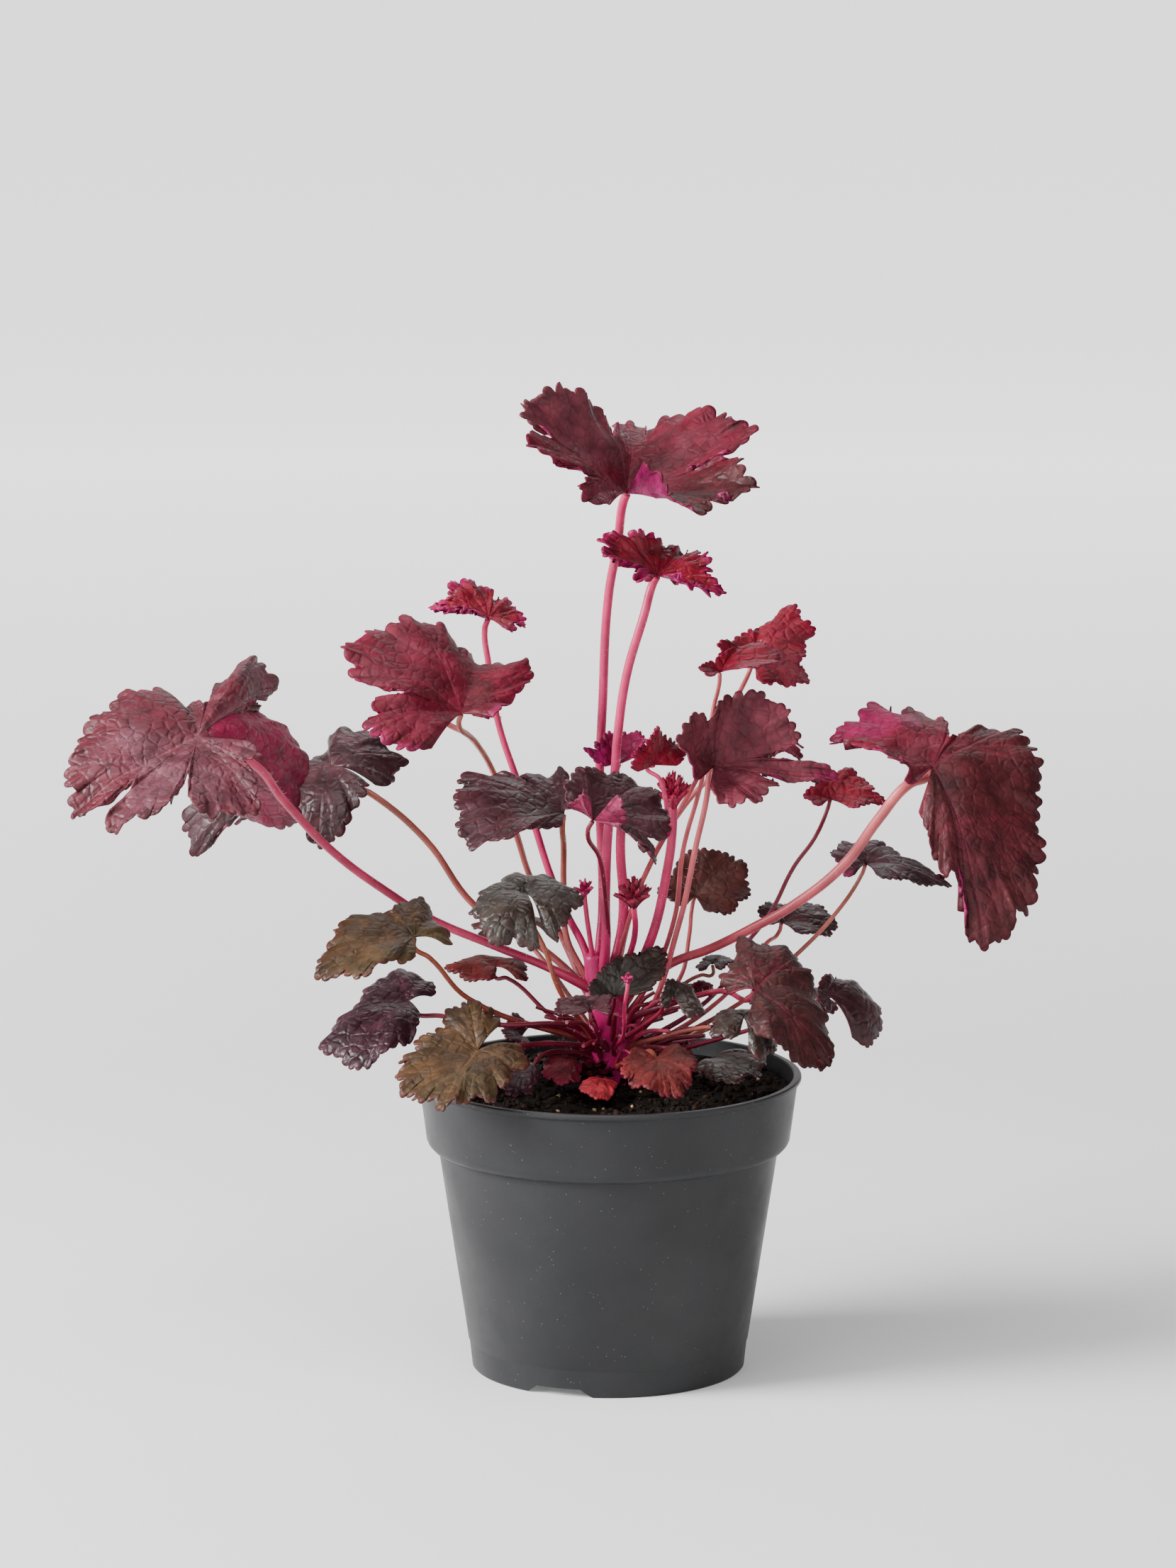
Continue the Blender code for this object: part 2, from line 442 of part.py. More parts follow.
def outline(tips, clefts, up):
    """Spokes of a blade's cut edge: lobe tips, the shoulders beside them and the clefts between."""
    across = tips[0] - up * tips[0].dot(up)
    other = tips[-1] - up * tips[-1].dot(up)
    open_angle = across.angle(other)
    flare = min(0.20, 0.28 * open_angle)
    spokes = [Quaternion(up, flare) @ tips[0] * 0.74]
    for i in range(len(tips) - 1):
        apart = (tips[i + 1] - tips[i]).length
        size = (tips[i + 1].length + tips[i].length) / 2
        cleft = clefts[i] or 0.05 + 0.10 * apart / size
        spokes.append(tips[i].copy())
        if clefts[i] > 0.15 or apart > 0.6 * size:
            spokes.append(between(tips, i + 0.28) * (1.0 - 0.22 * clefts[i]))
            spokes.append(between(tips, i + 0.50) * (1.0 - cleft))
            spokes.append(between(tips, i + 0.72) * (1.0 - 0.22 * clefts[i]))
        else:
            spokes.append(between(tips, i + 0.50) * (1.0 - cleft))
    spokes.append(tips[-1].copy())
    spokes.append(Quaternion(up, -flare) @ tips[-1] * 0.74)
    return spokes


def make_blade(name, colour, lift, joint, tips, clefts):
    """A lobed, waved blade: spokes from the stalk out to the cut edge, domed and thickened."""
    dice = random.Random(name)
    total = Vector((0, 0, 0))
    for one, other in zip(tips, tips[1:]):
        total -= one.cross(other)
    up = total.normalized()
    spokes = outline(tips, clefts, up)
    form = bmesh.new()
    heart = form.verts.new(joint)
    rings = [[], []]
    for spoke in spokes:
        rise = spoke.dot(up)
        flat = spoke - up * rise
        wave = dice.uniform(-0.03, 0.03) * flat.length
        dome = up * (lift * flat.length * 2 + wave)
        rings[0].append(form.verts.new(joint + flat * 0.5 + up * (rise * 0.36) + dome))
        rings[1].append(form.verts.new(joint + spoke))
    for i in range(len(spokes) - 1):
        form.faces.new((heart, rings[0][i], rings[0][i + 1]))
        form.faces.new((rings[0][i], rings[1][i], rings[1][i + 1]))
        form.faces.new((rings[0][i], rings[1][i + 1], rings[0][i + 1]))
    blade = add(name, form)
    skin = blade.modifiers.new("Thickness", "SOLIDIFY")
    skin.thickness = BLADE
    skin.offset = 0.0
    skin.use_even_offset = False
    apply_modifiers(blade)
    paint(blade, colour, 0.45)
    return up


def round_tips(span, heading):
    """Lobe tips of a plain, drooping blade that points away at a heading in degrees."""
    tips = []
    for step in range(7):
        turn = math.radians(heading + 141 - 47 * step)
        reach = span * (1.0 - 0.06 * abs(step - 3))
        fall = -0.30 if step % 2 else -0.16
        tips.append(Vector((reach * math.cos(turn), reach * math.sin(turn), reach * fall)))
    return tips


def taper(base, tip, count):
    return [base + (tip - base) * i / (count - 1) for i in range(count)]


def tube(name, places, radii, up=None, fineness=1):
    """A stalk as a bevelled curve with filled caps. With up given, its end squares to that."""
    line = bpy.data.curves.new(name, "CURVE")
    line.dimensions = "3D"
    line.bevel_depth = 1.0
    line.bevel_resolution = fineness
    line.use_fill_caps = True
    line.resolution_u = 1 if len(places) > 6 else 2
    spline = line.splines.new("BEZIER")
    spline.bezier_points.add(len(places) - 1)
    for point, place, radius in zip(spline.bezier_points, places, radii):
        point.co = place
        point.radius = radius * MM
        point.handle_left_type = "AUTO"
        point.handle_right_type = "AUTO"
    stalk = bpy.data.objects.new(name, line)
    bpy.context.scene.collection.objects.link(stalk)
    bpy.context.view_layer.update()
    if up is not None:
        end = spline.bezier_points[-1]
        end.handle_left_type = "FREE"
        end.handle_left = end.co - up * (end.co - places[-2]).length * 0.30
        bpy.context.view_layer.update()
    graph = bpy.context.evaluated_depsgraph_get()
    shape = bpy.data.meshes.new_from_object(stalk.evaluated_get(graph))
    bpy.data.objects.remove(stalk, do_unlink=True)
    form = bmesh.new()
    form.from_mesh(shape)
    bmesh.ops.remove_doubles(form, verts=form.verts, dist=0.000005)
    return add(name, form)


def as_tree(stalk):
    form = bmesh.new()
    form.from_mesh(stalk.data)
    wood = BVHTree.FromBMesh(form)
    form.free()
    return wood


def slide(ring, way):
    for point in ring:
        point.co += way


def seat(stalk, blade, end, up):
    """Slide the end of a stalk along the blade's upright until it stops one gap under it."""
    bpy.context.view_layer.update()
    graph = bpy.context.evaluated_depsgraph_get()
    skin = BVHTree.FromObject(blade, graph)
    near = [p.co.copy() for p in blade.data.vertices if (p.co - end).length < 0.006]
    ring = [p for p in stalk.data.vertices if (p.co - end).length < 0.0022]
    under = [p for p in stalk.data.vertices if 0.0022 < (p.co - end).length < 0.0042]
    for _ in range(12):
        wood = as_tree(stalk)
        nearest = min(min(skin.find_nearest(point.co)[3] for point in ring),
                      min(wood.find_nearest(point)[3] for point in near))
        slide(ring, up * (nearest - GAP))
        if abs(nearest - GAP) < 0.00002:
            break
    for _ in range(8):
        if skin.overlap(as_tree(stalk)):
            slide(ring + under, -up * GAP)


def make_crown(blades):
    """The stout crown with every stalk grown out of it, joined by one union."""
    places = [Vector(place) * MM for place in CROWN_WAY]
    crown = tube("crown", places, CROWN_RADII, fineness=4)
    stalks = bpy.data.collections.new("stalks")
    for name, base, tip, way in STALKS:
        joint, up = blades[name]
        places = [seen(*place) for place in way]
        end = joint - up * (BLADE / 2 + 3 * GAP)
        places.append(end - up * 0.003)
        places.append(end)
        stalk = tube("stalk_" + name, places, taper(base, tip, len(places)))
        seat(stalk, bpy.data.objects[name], end, up)
        stalks.objects.link(stalk)
    for name, middle, half_width, half_height, radius, way in BUDS:
        places = [seen(*place) for place in way]
        places.append(seen(*middle) - Vector((0, 0, half_height * MM + GAP)))
        stalk = tube("stalk_" + name, places, taper(radius, radius * 0.9, len(places)),
                     Vector((0, 0, 1)))
        stalks.objects.link(stalk)
    bpy.context.scene.collection.children.link(stalks)
    union = crown.modifiers.new("Union", "BOOLEAN")
    union.operation = "UNION"
    union.solver = "MANIFOLD"
    union.operand_type = "COLLECTION"
    union.collection = stalks
    apply_modifiers(crown)
    for stalk in list(stalks.objects):
        bpy.data.objects.remove(stalk, do_unlink=True)
    bpy.data.collections.remove(stalks)
    paint(crown, "stalk", 0.4)


def make_bud(name, middle, half_width, half_height):
    """A tight bud of pointed young leaves: a ball of rings whose corners stand out in turn."""
    form = bmesh.new()
    bmesh.ops.create_uvsphere(form, u_segments=8, v_segments=6, radius=1.0)
    heart = seen(*middle)
    for corner in form.verts:
        around = math.atan2(corner.co.y, corner.co.x)
        step = round(around / (math.tau / 8)) + round(corner.co.z * 3)
        side = 1.0 if step % 2 else 0.62
        if abs(corner.co.z) > 0.99:
            side = 1.0
        corner.co.x *= side * half_width * MM
        corner.co.y *= side * half_width * MM
        corner.co.z *= half_height * MM
        corner.co += heart
    bud = add(name, form)
    split = bud.modifiers.new("Split", "TRIANGULATE")
    split.quad_method = "FIXED"
    apply_modifiers(bud)
    paint(bud, "magenta", 0.4)


def main():
    clear_scene()
    make_pot()
    make_soil()
    blades = {}
    for name, colour, lift, joint, tips in LEAVES:
        heart = seen(*joint)
        spokes = [seen(*tip[:3]) - heart for tip in tips]
        clefts = [tip[3] if len(tip) > 3 else 0.0 for tip in tips]
        blades[name] = (heart, make_blade(name, colour, lift, heart, spokes, clefts))
    for name, colour, joint, span, heading in BACK_LEAVES:
        heart = seen(*joint)
        spokes = round_tips(span, heading)
        blades[name] = (heart, make_blade(name, colour, 0.05, heart, spokes, [0.3] * 7))
    for name, middle, half_width, half_height, radius, way in BUDS:
        make_bud(name, middle, half_width, half_height)
    make_crown(blades)


main()
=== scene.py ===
# Heuchera in a charcoal nursery pot: the finished look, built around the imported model
import math
import random

import bmesh
import bpy
import numpy as np
from mathutils import Matrix, Quaternion, Vector, noise


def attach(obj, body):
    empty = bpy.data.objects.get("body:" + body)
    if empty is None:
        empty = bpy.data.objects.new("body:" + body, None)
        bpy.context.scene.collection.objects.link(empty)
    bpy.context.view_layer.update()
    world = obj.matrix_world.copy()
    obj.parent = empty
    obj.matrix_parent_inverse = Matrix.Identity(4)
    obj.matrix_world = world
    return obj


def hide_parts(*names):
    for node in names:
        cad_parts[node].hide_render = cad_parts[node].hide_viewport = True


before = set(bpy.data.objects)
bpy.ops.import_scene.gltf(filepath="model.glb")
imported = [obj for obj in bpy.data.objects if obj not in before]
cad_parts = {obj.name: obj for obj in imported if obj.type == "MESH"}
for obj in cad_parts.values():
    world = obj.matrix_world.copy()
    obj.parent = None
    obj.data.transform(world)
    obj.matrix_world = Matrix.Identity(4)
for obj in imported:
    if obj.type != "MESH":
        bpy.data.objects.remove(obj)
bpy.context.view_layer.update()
mm = 0.001
eyePoint = Vector((-6.85, -2150.0, 584.0))  # the eye of the photograph, in millimetres

# Camera, light and floor
studio = {
    "pitchDown": 10.149,  # degrees
    "lens": 150.3, "sensor": 36.0, "farthest": 50.0,
    "floorSize": 60.0, "floorTone": 0.62, "grainScale": 18.0, "grainShare": 0.015,
    "floorGlow": (0.16, 1.70), "glowReach": (0.5, 2.4),  # by the pot and far off, and the metres between
    "skyGlow": 0.26, "horizonGlow": 1.60, "horizonBand": (0.115, 0.170),  # between these heights it fades
    "aim": (0.0, 0.0, 0.16),
    "lights": (  # name, place, size, watts
        ("keyLeft", (-1.95, -0.62, 1.20), 1.2, 185.0),
        ("topSoft", (-0.30, -0.55, 1.90), 1.3, 30.0),
        ("fillFront", (0.75, -2.40, 1.10), 1.5, 24.0),
        ("backGlow", (0.20, 1.90, 1.60), 1.6, 14.0),
    ),
}


# Small helpers for shader trees
def newFinish(name, roughness, shine):
    finish = bpy.data.materials.new(name)
    finish.use_nodes = True
    shader = finish.node_tree.nodes["Principled BSDF"]
    shader.inputs["Roughness"].default_value = roughness
    shader.inputs["Specular IOR Level"].default_value = shine
    return finish, finish.node_tree, shader


def addNode(tree, kind, settings=None, values=None):
    node = tree.nodes.new(kind)
    for key, value in (settings or {}).items():
        setattr(node, key, value)
    for key, value in (values or {}).items():
        node.inputs[key].default_value = value
    return node


def plug(tree, source, socket):
    if isinstance(source, bpy.types.NodeSocket):
        tree.links.new(source, socket)
    elif isinstance(source, (int, float)):
        socket.default_value = source
    else:
        socket.default_value = (*source, 1.0)


def mixColour(tree, amount, first, second, blend="MIX"):
    node = addNode(tree, "ShaderNodeMix", {"data_type": "RGBA", "blend_type": blend})
    for source, socket in ((amount, 0), (first, 6), (second, 7)):
        plug(tree, source, node.inputs[socket])
    return node.outputs[2]


def fitRange(tree, value, low, high, newLow=0.0, newHigh=1.0):
    node = addNode(tree, "ShaderNodeMapRange", {"clamp": True},
                   {"From Min": low, "From Max": high, "To Min": newLow, "To Max": newHigh})
    plug(tree, value, node.inputs["Value"])
    return node.outputs["Result"]


def calculate(tree, operation, first, second):
    node = addNode(tree, "ShaderNodeMath", {"operation": operation})
    plug(tree, first, node.inputs[0])
    plug(tree, second, node.inputs[1])
    return node.outputs[0]


def pattern(tree, kind, values, settings=None, where=None):
    node = addNode(tree, "ShaderNodeTex" + kind, settings, values)
    plug(tree, spotOn(tree) if where is None else where, node.inputs["Vector"])
    return node.outputs


def spotOn(tree, space="Object"):
    return addNode(tree, "ShaderNodeTexCoord").outputs[space]


def cloud(tree, scale, detail=3.0):
    return pattern(tree, "Noise", {"Scale": scale, "Detail": detail, "Roughness": 0.55})["Fac"]


def grey(tree, value):
    node = addNode(tree, "ShaderNodeCombineColor")
    for socket in ("Red", "Green", "Blue"):
        plug(tree, value, node.inputs[socket])
    return node.outputs["Color"]


def shaded(tree, colour, shade):
    return mixColour(tree, 1.0, colour, grey(tree, shade), "MULTIPLY")


def reading(tree, name, output="Fac"):
    return addNode(tree, "ShaderNodeAttribute", {"attribute_name": name}).outputs[output]


def raiseRelief(tree, shader, height, depth, strength):
    bump = addNode(tree, "ShaderNodeBump", None, {"Strength": strength, "Distance": depth})
    plug(tree, height, bump.inputs["Height"])
    plug(tree, bump.outputs["Normal"], shader.inputs["Normal"])


# Small helpers for meshes and objects
def addObject(name, data):
    thing = bpy.data.objects.new(name, data)
    bpy.context.scene.collection.objects.link(thing)
    return thing


def meshOf(form, name="part"):
    shape = bpy.data.meshes.new(name)
    form.to_mesh(shape)
    form.free()
    return shape


def newPiece(name, form, finish, node):
    piece = addObject(name, meshOf(form, name))
    piece.data.materials.append(finish)
    piece.data.shade_smooth()
    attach(piece, "root")
    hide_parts(node)
    return piece


def bakedMesh(thing):
    bpy.context.view_layer.update()
    return bpy.data.meshes.new_from_object(thing.evaluated_get(bpy.context.evaluated_depsgraph_get()))


def bakeModifiers(piece):
    made = bakedMesh(piece)
    piece.modifiers.clear()
    piece.data = made


def thicken(piece, thickness):
    skin = piece.modifiers.new("thickness", "SOLIDIFY")
    skin.thickness = thickness
    skin.offset = 0.0
    bakeModifiers(piece)


def scatter(dice):
    return Vector((dice.uniform(-1, 1), dice.uniform(-1, 1), dice.uniform(-1, 1)))


def addInBatches(form, items, addOne):
    # small batches keep the operators quick
    for first in range(0, len(items), 40):
        batch = bmesh.new()
        tint = batch.verts.layers.float_color.new("tint")
        for item in items[first:first + 40]:
            addOne(batch, tint, item)
        part = meshOf(batch)
        form.from_mesh(part)
        bpy.data.meshes.remove(part)


def seen(across, height, depth):
    # a place in millimetres, across and up as seen on the upright plane through the pot's axis, and
    # how far behind that plane it is
    onto = Vector((across, 0.0, height)) - eyePoint
    return (eyePoint + onto * ((depth - eyePoint.y) / -eyePoint.y)) * mm


def placeCamera():
    lens = bpy.data.cameras.new("photoCamera")
    lens.lens = studio["lens"]
    lens.sensor_width = studio["sensor"]
    lens.clip_end = studio["farthest"]
    camera = addObject("photoCamera", lens)
    camera.location = eyePoint * mm
    camera.rotation_euler = (math.radians(90.0 - studio["pitchDown"]), 0.0, 0.0)
    bpy.context.scene.camera = camera


def placeLights():
    for name, spot, size, watts in studio["lights"]:
        lamp = bpy.data.lights.new(name, "AREA")
        lamp.shape = "DISK"
        lamp.size = size
        lamp.energy = watts
        light = addObject(name, lamp)
        light.location = spot
        light.rotation_euler = (Vector(studio["aim"]) - Vector(spot)).to_track_quat("-Z", "Y").to_euler()
    sky = bpy.data.worlds.new("softSky")
    sky.use_nodes = True
    tree = sky.node_tree
    parts = addNode(tree, "ShaderNodeSeparateXYZ")
    plug(tree, spotOn(tree, "Generated"), parts.inputs["Vector"])
    glow = tree.nodes["Background"].inputs
    glow["Color"].default_value = (1.0, 1.0, 1.0, 1.0)
    plug(tree, fitRange(tree, parts.outputs["Z"], *studio["horizonBand"], studio["horizonGlow"],
                        studio["skyGlow"]), glow["Strength"])
    bpy.context.scene.world = sky


def makeFloor():
    form = bmesh.new()
    bmesh.ops.create_grid(form, x_segments=4, y_segments=4, size=studio["floorSize"] / 2)
    finish, tree, shader = newFinish("paleFloor", 0.8, 0.0)
    pale, grain = studio["floorTone"], studio["grainShare"]
    tone = mixColour(tree, cloud(tree, studio["grainScale"]), (pale,) * 3, (pale - grain,) * 3)
    plug(tree, tone, shader.inputs["Base Color"])
    away = addNode(tree, "ShaderNodeVectorMath", {"operation": "LENGTH"})
    plug(tree, spotOn(tree), away.inputs[0])
    near, far = studio["floorGlow"]
    glow = fitRange(tree, away.outputs["Value"], *studio["glowReach"], near / far, 1.0)
    plug(tree, grey(tree, glow), shader.inputs["Emission Color"])
    shader.inputs["Emission Strength"].default_value = far
    floor = addObject("floor", meshOf(form, "floor"))
    floor.data.materials.append(finish)


placeCamera()
placeLights()
makeFloor()
print("camera, light and floor")


# Leaf finishes: colour of the top, of the drifts of painted sheen on it, of veins, margin, underside, flushed
# zones and deep zones, then roughness, shine and relief
leafFinishes = {
    "burgundy": ((0.082, 0.0026, 0.011), (0.105, 0.022, 0.032), (0.120, 0.012, 0.026), (0.110, 0.003, 0.022),
                 (0.230, 0.008, 0.075), (0.210, 0.003, 0.055), (0.031, 0.0078, 0.0076), 0.46, 0.14, 0.34),
    "mauve": ((0.070, 0.006, 0.013), (0.090, 0.030, 0.042), (0.170, 0.060, 0.075), (0.076, 0.012, 0.016),
              (0.230, 0.012, 0.070), (0.150, 0.002, 0.028), (0.06, 0.002, 0.01), 0.48, 0.24, 0.5),
    "red": ((0.140, 0.0030, 0.012), (0.135, 0.016, 0.026), (0.190, 0.010, 0.032), (0.170, 0.003, 0.034),
            (0.270, 0.005, 0.085), (0.240, 0.003, 0.070), (0.07, 0.0008, 0.008), 0.42, 0.16, 0.5),
    "brown_red": ((0.070, 0.007, 0.007), (0.075, 0.022, 0.018), (0.120, 0.024, 0.018), (0.095, 0.005, 0.012),
                  (0.190, 0.014, 0.042), (0.160, 0.005, 0.030), (0.04, 0.003, 0.004), 0.48, 0.16, 0.35),
    "dark_red": ((0.072, 0.0020, 0.007), (0.080, 0.010, 0.016), (0.110, 0.005, 0.018), (0.130, 0.003, 0.028),
                 (0.200, 0.005, 0.060), (0.190, 0.003, 0.050), (0.036, 0.0006, 0.005), 0.42, 0.16, 0.4),
    "coral": ((0.400, 0.026, 0.036), (0.330, 0.034, 0.050), (0.460, 0.070, 0.070), (0.380, 0.020, 0.040),
              (0.380, 0.030, 0.070), (0.420, 0.020, 0.060), (0.22, 0.006, 0.014), 0.42, 0.22, 0.3),
    "dark": ((0.024, 0.0045, 0.0065), (0.054, 0.021, 0.027), (0.050, 0.011, 0.016), (0.045, 0.003, 0.009),
             (0.200, 0.016, 0.055), (0.220, 0.010, 0.055), (0.01, 0.002, 0.003), 0.40, 0.24, 0.34),
    "purple_dark": ((0.020, 0.004, 0.008), (0.036, 0.014, 0.022), (0.045, 0.009, 0.018), (0.045, 0.003, 0.014),
                    (0.140, 0.010, 0.050), (0.170, 0.005, 0.050), (0.009, 0.0018, 0.004), 0.38, 0.32, 0.42),
    "green_dark": ((0.020, 0.011, 0.008), (0.046, 0.046, 0.040), (0.030, 0.020, 0.013), (0.040, 0.005, 0.008),
                   (0.120, 0.012, 0.032), (0.140, 0.006, 0.024), (0.007, 0.004, 0.003), 0.36, 0.30, 0.45),
    "olive": ((0.038, 0.018, 0.006), (0.046, 0.037, 0.016), (0.100, 0.050, 0.022), (0.070, 0.010, 0.009),
              (0.170, 0.028, 0.038), (0.150, 0.012, 0.022), (0.022, 0.012, 0.004), 0.44, 0.24, 0.36),
    "olive_dark": ((0.048, 0.010, 0.008), (0.060, 0.021, 0.017), (0.064, 0.026, 0.014), (0.060, 0.006, 0.009),
                   (0.160, 0.018, 0.034), (0.150, 0.008, 0.024), (0.016, 0.006, 0.003), 0.44, 0.24, 0.36),
    "magenta": ((0.150, 0.003, 0.036), (0.120, 0.012, 0.034), (0.220, 0.007, 0.060), (0.240, 0.003, 0.066),
                (0.300, 0.005, 0.100), (0.300, 0.003, 0.100), (0.07, 0.0008, 0.016), 0.42, 0.16, 0.6),
}

leafSurface = {
    "sheenDriftScale": 36.0, "sheenDriftDetail": 4.0, "sheenDriftRange": (0.46, 0.72),  # drifts of painted sheen
    "shares": {"rim": 0.70, "vein": 0.55},  # how strong a colour gets where its attribute is full
    "netScale": 260.0, "netWarp": 0.0016, "warpScale": 300.0,  # the finest veins, cells for each metre
    # along the finest veins the colour is darkened: painted shade in their grooves
    "netPaintedShade": 0.80, "netDepth": 0.0006, "lineWidth": (0.0, 0.10), "cellSlope": (0.0, 0.22),
    "fleckScale": 130.0, "fleckShade": (0.58, 1.32),
    "glossScale": 260.0, "glossSpread": (-0.07, 0.12),
    "skinScale": 1100.0, "skinShare": 0.25,
}


def veinNet(tree):
    # distance to the nearest of the finest veins, with the straight lines bent by a cloud
    look = leafSurface
    warp = pattern(tree, "Noise", {"Scale": look["warpScale"], "Detail": 2.0})["Color"]
    bend = addNode(tree, "ShaderNodeVectorMath", {"operation": "MULTIPLY_ADD"})
    plug(tree, warp, bend.inputs[0])
    bend.inputs[1].default_value = (look["netWarp"],) * 3
    plug(tree, spotOn(tree), bend.inputs[2])
    return pattern(tree, "Voronoi", {"Scale": look["netScale"]}, {"feature": "DISTANCE_TO_EDGE"},
                   bend.outputs[0])["Distance"]


def makeLeafFinish(key, tones):
    look = leafSurface
    top, paintedSheen, vein, rim, under, flush, deep, rough, shine, relief = tones
    finish, tree, shader = newFinish("leaf_" + key, rough, shine)
    # the top drifts into a paler greyish colour: a painted sheen
    sheenDrift = fitRange(tree, cloud(tree, look["sheenDriftScale"], look["sheenDriftDetail"]), *look["sheenDriftRange"])
    colour = mixColour(tree, sheenDrift, top, paintedSheen)
    # the pale zones lay the painted sheen colour over parts of a leaf: painted light
    zones = {"rim": rim, "pale": paintedSheen, "deep": deep, "flush": flush, "under": under, "vein": vein}
    for name, tone in zones.items():
        amount = calculate(tree, "MULTIPLY", reading(tree, name), look["shares"].get(name, 1.0))
        colour = mixColour(tree, amount, colour, tone)
    net = veinNet(tree)
    fleck = fitRange(tree, cloud(tree, look["fleckScale"], 4.0), 0.34, 0.66, *look["fleckShade"])
    # the finest veins are drawn darker: painted shade in their grooves, beside the bump below
    lines = fitRange(tree, net, *look["lineWidth"], look["netPaintedShade"], 1.0)
    colour = shaded(tree, colour, calculate(tree, "MULTIPLY", fleck, lines))
    plug(tree, colour, shader.inputs["Base Color"])
    matt, glossy = look["glossSpread"]
    gloss = fitRange(tree, cloud(tree, look["glossScale"], 2.0), 0.3, 0.7, rough + matt, rough + glossy)
    plug(tree, gloss, shader.inputs["Roughness"])
    skin = calculate(tree, "MULTIPLY", cloud(tree, look["skinScale"], 2.0), look["skinShare"])
    height = calculate(tree, "ADD", fitRange(tree, net, *look["cellSlope"]), skin)
    raiseRelief(tree, shader, height, look["netDepth"], relief)
    return finish


# How every blade is shaped; lengths in metres
leafShape = {
    "thickness": 0.00055,
    "columnStep": 0.00074,  # along the margin
    "ringStep": 0.0014, "ringRange": (7, 28),  # from the stalk outwards
    "calm": 0.010,  # along the margin, how far the folds of the inner blade are evened out
    "calmEnds": 0.012, "marginEnds": 0.006,  # from the ends of the margin: how far that, and all folds, fade in
    "fullLobe": 0.032, "leastGrain": 0.45,  # shorter lobes have smaller teeth, down to this share
    "fullSize": 0.034, "leastFolds": 0.6,  # smaller blades have shallower folds, the same
    "hullEnds": 0.74, "flare": (0.28, 0.20),  # by the stalk: reach of the hull, its turn outwards, most turn
    "arch": 0.36,  # height of the middle of a lobe, as a share of how far its end rises
    "toothStep": 0.0054, "toothDepth": 0.0031, "tooth": 1.0, "waverScale": 95.0,
    "cleft": (0.03, 0.06), "indent": 1.0,  # where the table leaves it open: least, and more for lobes far apart
    "ruffle": 0.0012, "ruffleStep": 0.0170, "ruffleReach": 0.006, "secondRuffle": (0.35, 0.43),
    "veinWidth": 0.00060, "veinDepth": 0.00030, "veinEnds": 0.003,
    "quilt": 0.00022, "quiltReach": 0.0022, "quiltEnds": 0.004,
    "wrinkle": 0.0017, "wrinkleScale": 62.0,
    "veinReach": 0.97, "branchAt": (0.42, 0.6),  # of the main vein and of the branch's own lobe
    "sideVeinTurn": 0.66,  # radians off the main vein
    "sideVeinRoots": (0.34, 0.52), "sideVeinSpan": (0.34, -0.16),  # at the first, and change to the last
    "veinWeights": (1.0, 0.75, 0.4),  # main, branch, side
    "longVein": 0.022,  # a vein longer than this has four side veins, a shorter one two
    "rimWidth": 0.0020,
    "zoneEdge": 0.35, "bandEdge": 0.12,  # softness of the coloured zones, in lobes and in shares of the way out
    "zones": (),
}
# A cleft between two lobes: how far on from one lobe to the next, and the share of its depth
cleftForm = ((0.0, 0.0), (0.24, 0.12), (0.39, 0.50), (0.50, 1.0), (0.61, 0.50), (0.76, 0.12))


def curveThrough(points, places, roundness=0.92):
    # a curve through the points, drawn a little towards the straight lines between them
    last = len(points) - 1
    low = np.clip(np.floor(places).astype(int), 0, last - 1)
    part = (places - low)[:, None]
    a, b, c, d = (points[np.clip(low + step, 0, last)] for step in (-1, 0, 1, 2))
    soft = 0.5 * (2 * b + (c - a) * part + (2 * a - 5 * b + 4 * c - d) * part ** 2
                  + (3 * b - a - 3 * c + d) * part ** 3)
    return soft * roundness + (b + (c - b) * part) * (1 - roundness)


def leafUp(tips):
    up = Vector((0, 0, 0))
    for one, other in zip(tips, tips[1:]):
        up -= one.cross(other)
    return up.normalized()


def lobeSpokes(tips, clefts, up, look):
    # the whole lobes as a smooth hull, and how far out of it each place of the margin reaches
    across, other = (tip - up * tip.dot(up) for tip in (tips[0], tips[-1]))
    share, most = look["flare"]
    flare = min(most, share * across.angle(other))
    first, last = Quaternion(up, flare) @ tips[0], Quaternion(up, -flare) @ tips[-1]
    hull = [first * look["hullEnds"], *tips, last * look["hullEnds"]]
    least, more = look["cleft"]
    margin = [(0.0, 1.0)]
    for i, cleft in enumerate(clefts[:-1]):
        apart = (tips[i + 1] - tips[i]).length
        size = (tips[i + 1].length + tips[i].length) / 2
        cleft = cleft or (least + more * apart / size) * look["indent"]
        margin += [(i + 1 + onwards, 1.0 - depth * cleft) for onwards, depth in cleftForm]
    margin += [(len(tips), 1.0), (len(tips) + 1, 1.0)]
    return np.array(hull), np.array(margin)


def marginOf(hull, margin, step):
    # places evenly along the margin, how far each reaches, and the way run to it
    fine = np.linspace(0, len(margin) - 1, 40 * len(margin))
    places = curveThrough(margin[:, :1], fine, 0.0)[:, 0]
    reach = curveThrough(margin[:, 1:], fine)[:, 0]
    line = curveThrough(hull, places) * reach[:, None]
    run = np.concatenate([[0], np.cumsum(np.linalg.norm(np.diff(line, axis=0), axis=1))])
    even = np.linspace(0, run[-1], max(60, int(run[-1] / step)) + 1)
    return np.interp(even, run, places), np.interp(even, run, reach), even


